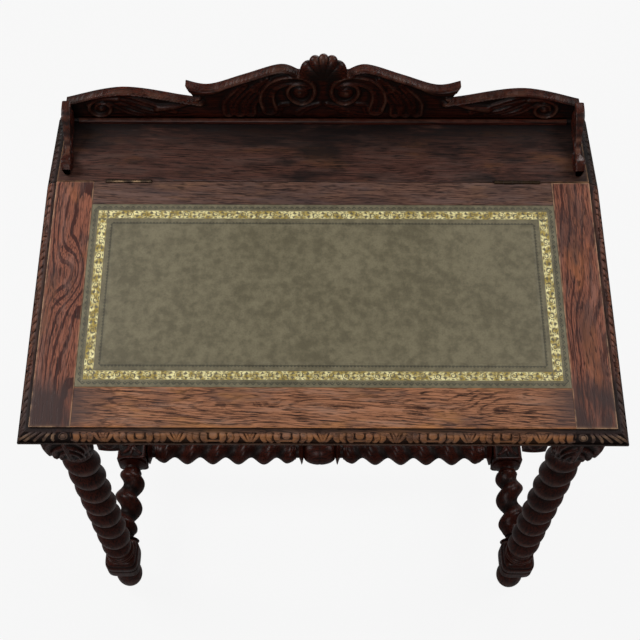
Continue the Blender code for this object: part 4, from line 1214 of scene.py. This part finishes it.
def lay_rows(rows, angle, axis):
    """Rows of place, radius and painted shade of hollows laid along the X or Y axis, as the solids are."""
    along, radius, hollow = map(np.array, zip(*rows))
    along = along[:, None]
    a, b = radius * np.cos(angle), radius * np.sin(angle)
    return (table_of(along, b, -a) if axis == "X" else table_of(a, along, -b)), hollow


def middle_leaf(across, along):
    """Relief of the leaf on a stretcher's middle block, in millimetres below the face."""
    carving = Relief(np.abs(across), np.abs(along))
    carving.ridge(np.array([(29.0, 0.0), (29.0, 29.0), (0.0, 29.0)]), 4.5, 3.2)
    carving.boss((0, 0), 6.0, 3.6)
    carving.leaf([(3, 3), (9, 12), (19, 19)], 5.5, 3.2, 2.4)
    carving.leaf([(4, 0), (13, 0), (22, 0)], 3.6, 2.6, 1.6)
    carving.leaf([(0, 4), (0, 13), (0, 22)], 3.6, 2.6, 1.6)
    carving.gouge(spiral((0, 0), 0, 1.0, 4.4, 4.4, 20), 0.9, 1.0)
    return 3.2 - carving.height


def make_side_stretcher(name, side):
    """Two twisted arms and a leaf-carved middle block in one turned piece."""
    columns = 96
    angle = round_angles(columns)
    even = np.ones(len(angle))
    reach = (LEG_REAR_Y - LEG_FRONT_Y - LOWER_BLOCK) / 2 - GAP
    half = MIDDLE_BLOCK / 2
    front = stretcher_rows(-reach, -half, side, angle)
    block = [(-half, RING_EDGE * even, 0 * even)]
    for along in np.linspace(-half, half, 52):
        ease = 0.0016 * max(0.0, abs(along) - half + 0.002) / 0.002
        depth = middle_leaf(face_places(angle, half), along / MM * even)
        radius = square_radius(angle, half - ease, 7.0) - depth * MM / np.cos(from_face(angle))
        # Painted shade in the cuts of the block's leaf.
        block.append((along, radius, step_up(depth, 1.0, 3.0)))
    block.append((half, RING_EDGE * even, 0 * even))
    table, hollow = lay_rows(front + block, angle, "Y")
    half_turn = (columns // 2 - np.arange(columns + 1)) % columns
    back_table = (table[:len(front)][::-1] * (-1, -1, 1))[:, half_turn]
    back_hollow = hollow[:len(front)][::-1][:, half_turn]
    table = np.concatenate([table, back_table]) + (side * LEG_X, MIDDLE_Y, STRETCHER_HEIGHT)
    return close_up(skin(name, table, np.concatenate([hollow, back_hollow])))


def make_cross_stretcher(name):
    """Two mirrored twists with a turned ball between them."""
    angle = round_angles(72)
    even = np.ones(len(angle))
    reach = LEG_X - MIDDLE_BLOCK / 2 - GAP
    half = BALL_LENGTH / 2
    left = stretcher_rows(-reach, -half, -1, angle)
    for turn in np.linspace(-1.25, 0.0, 14):
        along = half * math.sin(turn)
        line = 0.0007 * math.exp(-(along / 0.0012) ** 2)
        # Painted shade in the fine line round the ball.
        left.append((along, (BALL_RADIUS * math.cos(turn) ** 0.6 - line) * even, line / 0.001 * even))
    table, hollow = lay_rows(left, angle, "X")
    table = np.concatenate([table, table[-2::-1] * (-1, 1, 1)]) + (0, MIDDLE_Y, STRETCHER_HEIGHT)
    return close_up(skin(name, table, np.concatenate([hollow, hollow[-2::-1]])))


# Carved gallery: lines in millimetres from the middle of the shelf's top

CREST_END = 406.0
CREST_WING = ((CREST_END, 34.0), (314.9, 57.0), (221.8, 40.0), (193.9, 34.0))
CREST_BACK_OF_TIP = ((193.9, 34.0), (204.0, 46.7), (214.0, 72.0))
CREST_LEAF = ((214.0, 72.0), (177.9, 64.0), (122.4, 85.0), (66.8, 106.0), (39.0, 96.0))
CREST_RELIEF = 7.0
CREST_EDGE_ROUND = 6.0
CREST_STEP = 1.3
CREST_SPARE = 4.0
VOLUTE_EYE = (35.0, 58.0)
VOLUTE_STEM = ((84, 22), (88, 42), (86, 58), (78, 71), (64, 80), (48, 85), (34, 82), (25, 72))
VOLUTE_RIM = (
    (94, 22), (98, 42), (95, 60), (86, 76), (73, 86), (60, 91), (44, 92), (30, 89), (18, 80), (13, 65),
    (15, 49), (24, 38), (36, 35), (48, 42), (55, 56), (52, 70), (42, 77), (31, 76), (22, 67),
)
FAN_FRONDS = (
    ((150, 14), (150, 34), (139, 52), (122, 72)),
    ((132, 14), (131, 32), (122, 48), (108, 66)),
    ((115, 14), (113, 30), (106, 44), (99, 56)),
)
END_SCROLL_EYE = (352.0, 23.0)
END_SCROLL_RIM = (
    (322, 44), (338, 45), (354, 42), (367, 33), (371, 22), (366, 11), (355, 7), (343, 11), (337, 21),
    (340, 31), (349, 35), (358, 31), (361, 23),
)
WING_FRONDS = (
    ((316, 47), (292, 38), (266, 26), (236, 15)),
    ((330, 45), (312, 34), (290, 21), (262, 11)),
    ((338, 40), (326, 28), (310, 16), (288, 8)),
)
WING_TAIL = ((262, 22), (238, 26), (214, 35), (194, 46))


def crest_half_outline():
    return np.vstack([[(CREST_END, 0.0)], line_like_solid(CREST_WING)[:-1],
                      line_like_solid(CREST_BACK_OF_TIP)[:-1], line_like_solid(CREST_LEAF)])


def carve_volute(carving):
    """Broad stem that rises from the foot and rolls into a ringed eye beside the middle."""
    carving.frond([(72, 12), (66, 28), (54, 32)], 6.0, 4.0, 3.0)
    carving.frond([(38, 12), (24, 24), (6, 32)], 6.0, 4.2, 3.0)
    carving.frond(VOLUTE_STEM, 13.0, 6.0, 7.5)
    carving.gouge([(93, 20), (95, 43), (92, 60), (82, 75), (66, 85), (46, 89)], 1.3, 1.6)
    carving.gouge([(86, 20), (88, 42), (85, 57), (77, 69), (63, 78), (48, 82)], 1.3, 1.3)
    carving.gouge([(79, 20), (81, 41), (78, 54), (71, 64), (60, 71)], 1.3, 1.6)
    carving.ridge(VOLUTE_RIM, 4.4, 7.0, 3.6)
    carving.gouge(spiral(VOLUTE_EYE, 0, 1.0, 15.2, 15.2, 40), 2.6, 3.0)
    carving.boss(VOLUTE_EYE, 13.0, 6.9)
    carving.gouge(spiral(VOLUTE_EYE, 100, 1.4, 10.4, 3.6, 50), 1.6, 1.6)


def carve_fan(carving):
    """Ribbed leaf between the volute and the tip, with a small curled leaf above it."""
    for points in FAN_FRONDS:
        carving.frond(points, 9.5, 5.6, 4.5)
        carving.gouge(points, 1.4, 1.4)
    carving.frond([(106, 64), (98, 76), (86, 87)], 5.2, 6.6, 2.6)
    carving.gouge([(98.0, 90.0), (95.0, 86.0)], 3.0, 4.0)
    carving.gouge([(70.0, 97.0), (64.0, 98.0)], 2.4, 3.0)


def carve_wing(carving):
    """Low side of the crest: leaves in a row, an end scroll and a tail that tucks behind the tip."""
    for points in WING_FRONDS:
        carving.frond(points, 6.6, 5.8, 3.4)
        carving.gouge(points, 1.4, 1.2)
    carving.ridge(WING_TAIL, 8.5, 6.4, 4.0)
    carving.ridge(END_SCROLL_RIM, 4.6, 6.8, 3.4)
    carving.boss(END_SCROLL_EYE, 9.6, 6.6)
    carving.gouge(spiral(END_SCROLL_EYE, 0, 1.0, 5.2, 4.4, 24), 1.2, 1.3)


def crest_heights(x, z):
    """Height of the crest's carving above its ground, in millimetres."""
    carving = Relief(np.abs(x), z, 0.8)
    carving.height = 1.6 * step_up(-z, -28, -8)
    carve_wing(carving)
    carving.ridge([(213, 69), (192, 59), (168, 62), (147, 74)], 11.0, 6.6, 5.0)
    carve_fan(carving)
    carve_volute(carving)
    carving.gouge([(0.0, 66.0), (0.0, 100.0)], 13.0, 5.0)
    carving.ridge(line_like_solid(CREST_LEAF), 8.0, 7.0)
    carving.ridge(line_like_solid(CREST_WING), 7.5, 6.6)
    return np.clip(carving.height, -2.0, CREST_RELIEF)


def softened(height, reach):
    """Heights averaged over a square round every place of a grid."""
    width = 2 * reach + 1
    for _ in range(2):
        padded = np.pad(height, ((reach + 1, reach), (0, 0)), mode="edge")
        running = np.cumsum(padded, axis=0)
        height = ((running[width:] - running[:-width]) / width).T
    return height


def make_crest(name):
    """Crest board: a slab with its front carved in relief, cut to the scrolled outline."""
    edge_x, top = CREST_END + CREST_SPARE, 112.0
    x = np.linspace(-edge_x, edge_x, round(2 * edge_x / CREST_STEP) + 1)
    z = np.linspace(-CREST_SPARE, top, round((top + CREST_SPARE) / CREST_STEP) + 1)
    grid_x, grid_z = np.meshgrid(x, z)
    height = softened(crest_heights(grid_x, grid_z), 1)
    half = crest_half_outline()
    edge, _ = near_line(np.abs(grid_x), grid_z, half[1:])
    near = 1 - np.clip(edge / CREST_EDGE_ROUND, 0, 1)
    depth = np.clip(CREST_RELIEF - height, 0, 9.0)
    depth = np.maximum(depth, CREST_EDGE_ROUND * (1 - np.sqrt(1 - near ** 2)))
    table = np.dstack([grid_x * MM, CREST_FRONT + depth * MM, SHELF_TOP + GAP + grid_z * MM])
    table = np.pad(table, ((1, 1), (1, 1), (0, 0)), mode="edge")
    for rim in (table[0], table[-1], table[:, 0], table[:, -1]):
        rim[:, 1] = BACK_Y + CREST_SPARE * MM
    slab = close_up(skin(name, table))
    cut(slab, outline_prism(np.vstack([half, half[::-1] * (-1, 1)])), "INTERSECT")
    edit(slab)
    bpy.ops.mesh.remove_doubles(threshold=WELD)
    object_mode()
    points = points_of(slab)
    column = np.rint((points[:, 0] / MM + edge_x) / CREST_STEP)
    row = np.rint(((points[:, 2] - SHELF_TOP - GAP) / MM + CREST_SPARE) / CREST_STEP)
    column = np.clip(column, 0, len(x) - 1).astype(int)
    row = np.clip(row, 0, len(z) - 1).astype(int)
    # Painted shade on the front where the carving sinks below its surroundings.
    sunk = (softened(height, 6) - height)[row, column]
    on_front = points[:, 1] < CREST_FRONT + 0.0095
    # Painted shade, with staining, towards the crest's ends beside the brackets.
    corner = 0.8 * step_up(np.abs(points[:, 0]) / MM, 366, 392)
    hollow = np.maximum(step_up(sunk, -0.4, 1.6) * 0.92, corner)
    set_values(slab, "hollow", np.where(on_front, hollow, 0.0))
    set_values(slab, "wear_and_highlight", np.where(on_front, 0.40 * step_up(-sunk, 0.6, 2.4), 0.0))
    smooth(slab, 60)
    return slab


def outline_prism(outline):
    """A prism over the crest's outline, made from a filled circle that is pulled to shape."""
    ahead = 0.01
    deselect()
    bpy.ops.mesh.primitive_circle_add(vertices=len(outline), radius=1, fill_type="NGON")
    tool = bpy.context.object
    front = np.full(len(outline), CREST_FRONT - ahead)
    set_points(tool, np.column_stack([outline[:, 0] * MM, front, SHELF_TOP + GAP + outline[:, 1] * MM]))
    edit(tool)
    through = (0, BACK_Y - CREST_FRONT + ahead, 0)
    bpy.ops.mesh.extrude_region_move(TRANSFORM_OT_translate={"value": through})
    face_outwards(tool)
    return tool


def make_crest_bead(name):
    """Quarter-round bead with a fillet along the foot of the crest."""
    half = LID_HALF - BRACKET_INSET - BRACKET_THICKNESS - GAP
    section = [(0.0, 0.0), (-0.007, 0.0), (-0.007, 0.0012)]
    for turn in np.linspace(0, math.pi / 2, 9):
        section.append((-0.0062 * math.cos(turn), 0.0014 + 0.0050 * math.sin(turn)))
    section += [(0.0, 0.0068), (0.0, 0.0)]
    rows = []
    for x in np.linspace(-half, half, 60):
        rows.append([(x, CREST_FRONT - GAP + y, SHELF_TOP + GAP + z) for y, z in section])
    table = np.array(rows)
    # A painted highlight along the upper front of the bead.
    wear_and_highlight = np.tile(0.3 * np.exp(-((np.arange(len(section)) - 8) / 2.0) ** 2), (len(rows), 1))
    return close_up(skin(name, table, 0.0, wear_and_highlight))


def make_shell(name):
    """Fluted bud on the crown of the crest, its lobes running from the front over the top."""
    half_width, height, thickness, foot = 0.038, 0.041, 0.027, 0.0965
    fan = np.linspace(0, math.pi, 121)
    over = np.linspace(0, math.pi, 40)[:, None]
    across, rise = np.cos(fan), np.sin(over)
    ripple = np.abs(np.cos(2.5 * math.pi * across * 0.92)) ** 0.6
    swell = rise ** 0.6 * (1 - 0.14 * (1 - ripple) * np.minimum(1.0, 1.4 * rise))
    belly = np.cos(over) * (1 - 0.20 * (1 - ripple) * rise)
    table = np.dstack([
        half_width * swell * across,
        BACK_Y - thickness / 2 - thickness / 2 * belly,
        SHELF_TOP + foot + height * swell * np.sin(fan),
    ])
    # Painted shade under the bud and in the grooves between its lobes.
    under = 0.9 * (1 - step_up(rise, 0.30, 0.80)) * (np.cos(over) > 0)
    hollow = np.maximum(step_up(1 - ripple, 0.3, 0.95) * 0.9, under)
    # A painted highlight on the lobes at the top of the bud.
    wear_and_highlight = 0.9 * ripple * step_up(np.sin(fan), 0.86, 1.0) * step_up(rise, 0.5, 1.0)
    return close_up(skin(name, table, hollow, wear_and_highlight))


BRACKET_TOP = ((0.0, 44.0), (24.7, 44.0), (49.3, 28.5), (74.0, 13.0), (104.0, 24.0), (116.0, 14.5))
BRACKET_RUN = 115.6
BRACKET_TOE = 4.5
RIB_PITCH = 13.0


def make_bracket(name, side):
    """Side of the gallery: a scrolled bracket with a ribbed back, a thin waist and a rolled nose."""
    line = line_like_solid(BRACKET_TOP, 22)
    run = np.linspace(0, BRACKET_RUN, 150)[:, None]
    top = np.interp(run, line[:, 0], line[:, 1])
    turn = round_angles(72) - math.pi / 2
    nose = np.sqrt(np.maximum(0.03, 1 - (np.maximum(0.0, run - 103.0) / 13.0) ** 2))
    bottom = np.maximum(0.0, run - 111.0) ** 1.5 * 0.25
    waist = step_up(run, 18, 70) * (1 - step_up(run, 78, 98))
    ribs = step_up(run, 16, 26) * (1 - step_up(run, 62, 78))
    ribs = ribs * (0.5 + 0.5 * np.cos(2 * math.pi * run / RIB_PITCH))
    crown = step_up(np.sin(turn), 0.4, 0.95)
    rounded = np.sign(np.sin(turn)) * np.abs(np.sin(turn)) ** 0.45
    up = (top + bottom) / 2 + (top - bottom) / 2 * rounded
    level = np.clip((up - bottom) / np.maximum(top - bottom, 1e-6), 0, 1)
    half = 8.4 * (0.74 + 0.26 * nose) * (1 - 0.48 * waist * step_up(level, 0.25, 0.9))
    up = up - 0.6 * ribs * crown
    carving = Relief(np.broadcast_to(run, up.shape), up)
    carving.ridge(spiral((102.0, 13.0), 200, 1.4, 9.5, 2.5, 40), 2.8, 2.2, 1.4)
    carving.ridge(spiral((17.0, 26.0), 60, -1.6, 15.0, 4.0, 50), 3.4, 2.4, 2.0)
    carving.ridge([(32, 12), (54, 14), (76, 6), (95, 5)], 3.0, 2.2, 2.0)
    sunk = (2.2 - np.clip(carving.height, 0, 2.2)) * (1 - crown) * step_up(top - up, 2.0, 5.0)
    across = np.maximum(half * np.abs(np.cos(turn)) ** 0.35 - sunk, 2.6) * np.sign(np.cos(turn))
    toe = BRACKET_TOE * (1 - 2 * run / BRACKET_RUN)
    x = side * (LID_HALF - BRACKET_INSET - BRACKET_THICKNESS / 2 + toe * MM) + across * MM
    table = table_of(x, CREST_FRONT - GAP - run * MM, SHELF_TOP + GAP + up * MM)
    # Painted shade in the sunk scrolls and between the ribs on top.
    hollow = np.maximum(step_up(sunk, 0.6, 2.2) * 0.8, crown * ribs * 0.6)
    # A painted highlight along the top, strongest at the waist.
    wear_and_highlight = (0.12 + 0.45 * waist) * crown * (1 - ribs)
    return close_up(skin(name, table, hollow, wear_and_highlight), 50)


def make_corner_bracket(name, side):
    """Shaped ear under the front rail, with an oval bead sunk into its face."""
    top = RAIL_BOTTOM - GAP
    start = LEG_X - TOP_BLOCK / 2 - GAP
    width, half, sag, ground = 0.036, 0.008, 0.004, 2.2
    share, level = np.meshgrid(np.linspace(0, 1, 29), np.linspace(0, 1, 45))
    carving = Relief((share - 0.5) * 36, (level - 0.5) * 58)
    turn = np.linspace(0, 2 * math.pi, 40)
    carving.ridge(np.column_stack([10.5 * np.cos(turn), 20 * np.sin(turn)]), 3.0, ground)
    carving.boss((0, 0), 5.5, 2.0)
    rim = [(-17.0, -29.0), (17.0, -29.0), (17.0, 29.0), (-17.0, 29.0), (-17.0, -29.0)]
    carving.ridge(np.array(rim), 3.0, ground)
    sunk = ground - carving.height
    low = TOP_BLOCK_BOTTOM + sag - sag * 4 * share * (1 - share)
    table = np.dstack([
        side * (start - width * share),
        LEG_FRONT_Y - half + sunk * MM,
        low + level * (top - low),
    ])
    # Painted shade in the sunk ground round the oval bead.
    piece = skin(name, table, step_up(sunk, 0.8, ground) * 0.8)
    edit(piece)
    bpy.ops.mesh.extrude_region_move(TRANSFORM_OT_translate={"value": (0, 0.02, 0)})
    bpy.ops.transform.resize(value=(1, 0, 1), center_override=(0, LEG_FRONT_Y + half, 0))
    face_outwards(piece)
    smooth(piece, 50)
    return piece


# Hinges and plain boards

# Height and radius round a screw head, and the places of the screws across and below a hinge's middle
SCREW_PROFILE = ((-0.0004, 0.0001), (-0.0004, 0.0021), (0.0001, 0.0024), (0.00022, 0.0020), (0.00026, 0.0001))
SCREW_PLACES = ((-0.026, 0.0115), (0.0, 0.0075), (0.026, 0.0115))


def make_screws(name, places, facing):
    """Countersunk slotted screw heads, set just proud of a hinge leaf."""
    heads = []
    turned_out = Matrix.Rotation(facing * math.pi / 2, 4, "X")
    for number, (x, z) in enumerate(places):
        head = close_up(skin("screw", turned_table(SCREW_PROFILE, 20)))
        slot = box_piece("slot", (-0.0030, -0.0003, 0.0), (0.0030, 0.0003, 0.001))
        slot.data.transform(Matrix.Rotation(0.7 + 0.9 * number, 4, "Z"))
        cut(head, slot)
        head.data.transform(Matrix.Translation((x, HINGE[1] + facing * 0.0005, z)) @ turned_out)
        heads.append(head)
    return join(heads, name)


def ease_edges(node_name, width=0.0006):
    """Weld a solid's triangles and ease its edges, with live modifiers that leave its mesh as it is."""
    piece = frame["nodes"][node_name]
    weld = piece.modifiers.new("weld", "WELD")
    weld.merge_threshold = 0.00001
    bevel = piece.modifiers.new("eased_edges", "BEVEL")
    bevel.width = width
    bevel.segments = 2
    bevel.limit_method = "ANGLE"
    bevel.angle_limit = math.radians(40)
    return piece


def finish_node(node_name, material):
    piece = frame["nodes"][node_name]
    for slot in piece.material_slots:
        slot.material = material


# The table, piece by piece

for side_name, side in SIDES:
    stile_finish = board_stile_left if side < 0 else board_stile_right
    dress(make_stile(f"stile_{side_name}", side), "lid", "oak_top", stile_finish, f"lid_stile_{side_name}")
dress(make_lid_front_rail("front_of_lid"), "lid", "oak_top", board_rail, "lid_front_rail")
dress(make_shelf("gallery_shelf"), "case", "oak_top", board_shelf, "shelf")
leather = dress(make_leather("writing_leather"), "lid", "leather", olive_leather, "lid_leather")
leather.data.materials.append(border_leather)
dress(make_gilt_border("gilt_border"), "lid", "leather", gold_leaf)
dress(make_blind_tooling("blind_tooling"), "lid", "leather", tooled_leather)

for side_name, side in SIDES:
    for end_name, y, top_at in (("front", LEG_FRONT_Y, lid_underside), ("rear", LEG_REAR_Y, shelf_underside)):
        corner = f"{end_name}_{side_name}"
        leg = make_leg(f"twist_leg_{corner}", side * LEG_X, y, side, top_at)
        dress(leg, "case", "oak_dark", carved_z, f"leg_{corner}")
        foot = make_foot(f"ball_foot_{corner}", side * LEG_X, y)
        dress(foot, "case", "oak_dark", carved_z, f"foot_{corner}")
    stretcher = make_side_stretcher(f"twist_stretcher_{side_name}", side)
    dress(stretcher, "case", "oak_dark", carved_y, f"side_stretcher_{side_name}")
    bracket = make_bracket(f"scroll_bracket_{side_name}", side)
    dress(bracket, "case", "oak_dark", carved_y, f"gallery_bracket_{side_name}")
    ear = make_corner_bracket(f"carved_ear_{side_name}", side)
    dress(ear, "case", "oak_dark", carved_z, f"corner_bracket_{side_name}")
dress(make_cross_stretcher("twist_stretcher_cross"), "case", "oak_dark", carved_x, "cross_stretcher")

dress(make_crest("carved_crest"), "case", "oak_dark", carved_x, "crest_board")
dress(make_crest_bead("crest_foot_bead"), "case", "oak_dark", carved_x, "crest_bead")
dress(make_shell("carved_shell"), "case", "oak_dark", carved_x, "crest_shell")

for side_name, side in SIDES:
    screw_places = [(side * HINGE_AT + offset, SHELF_TOP - level) for offset, level in SCREW_PLACES]
    screws = make_screws(f"shelf_hinge_screws_{side_name}", screw_places, 1)
    dress(screws, "case", "brass", old_brass)
    for leaf in ("hinge_fixed_leaf", "hinge_lid_leaf", "hinge_pin"):
        finish_node(f"{leaf}_{side_name}", old_brass)

PLAIN_BOARDS = {
    "front_rail": carved_x,
    "back_rail": carved_x,
    "side_rail_left": carved_y,
    "side_rail_right": carved_y,
    "bottom_board": bare_oak,
    "lid_panel": bare_oak,
    "lid_hinge_rail": board_hinge_rail,
}
for node_name, material in PLAIN_BOARDS.items():
    finish_node(node_name, material)
    ease_edges(node_name)


# Floor, light and camera

WHITE = (1, 1, 1, 1)
FLOOR_GREY = (0.36, 0.36, 0.36, 1)
FLOOR_WHITENESS = 0.90
SKY_LIGHT = 0.11
# Name, place, aim, size and power of the lamps
LAMPS = (
    ("key", (-1.9, 0.6, 2.4), (0, 0, 0.75), 1.2, 43.0),
    ("second", (1.9, 0.5, 2.4), (0, 0, 0.75), 1.2, 28.0),
    ("fill", (-0.5, -2.3, 2.3), (0, 0, 0.6), 1.2, 23.0),
    ("back", (0.5, 2.9, 1.3), (0, 0.2, 0.5), 1.6, 34.0),
)
CAMERA_PLACE = (-0.0154, FRONT_Y - 0.6641, FRONT_HEIGHT + 1.3163)
CAMERA_DIP = 57.4
CAMERA_ROLL = 0.191
CAMERA_LENS = 59.38
CAMERA_SHIFT = 0.0118


def white_for_eye(nodes, strength):
    """Strength for rays that come straight from the camera, for a plain white ground."""
    return nodes.times(nodes.add("ShaderNodeLightPath").outputs["Is Camera Ray"], strength)


def make_floor():
    deselect()
    bpy.ops.mesh.primitive_plane_add(size=40)
    floor = bpy.context.object
    floor.name = "floor"
    ground = Finish("pale_floor")
    ground.set("Base Color", FLOOR_GREY)
    ground.set("Roughness", 0.9)
    glow = ground.add("ShaderNodeEmission", Color=WHITE, Strength=1.0).outputs[0]
    mix = ground.add("ShaderNodeMixShader")
    seen = ground.fill(mix, white_for_eye(ground, FLOOR_WHITENESS), ground.shader.outputs[0], glow)
    ground.put(ground.tree.nodes["Material Output"].inputs[0], seen)
    floor.data.materials.append(ground.material)


def make_lights():
    world = bpy.data.worlds.new("studio")
    bpy.context.scene.world = world
    world.use_nodes = True
    sky = Nodes(world.node_tree)
    ground = sky.tree.nodes["Background"].inputs
    sky.put(ground["Color"], WHITE)
    sky.put(ground["Strength"], sky.times(white_for_eye(sky, 1.0), 1 - SKY_LIGHT, SKY_LIGHT))
    for name, place, aim, size, power in LAMPS:
        lamp = bpy.data.lights.new(name, "AREA")
        lamp.size = size
        lamp.energy = power
        holder = bpy.data.objects.new(name, lamp)
        bpy.context.collection.objects.link(holder)
        holder.location = place
        holder.rotation_euler = (Vector(aim) - Vector(place)).to_track_quat("-Z", "Y").to_euler()


def make_camera():
    lens = bpy.data.cameras.new("camera")
    lens.sensor_width = 36.0
    lens.lens = CAMERA_LENS
    lens.shift_x = CAMERA_SHIFT
    camera = bpy.data.objects.new("camera", lens)
    bpy.context.collection.objects.link(camera)
    camera.location = CAMERA_PLACE
    camera.rotation_euler = (math.radians(90 - CAMERA_DIP), 0, 0)
    camera.rotation_euler.rotate_axis("Z", math.radians(CAMERA_ROLL))
    bpy.context.scene.camera = camera


make_floor()
make_lights()
make_camera()
bpy.context.scene.view_settings.view_transform = "Standard"
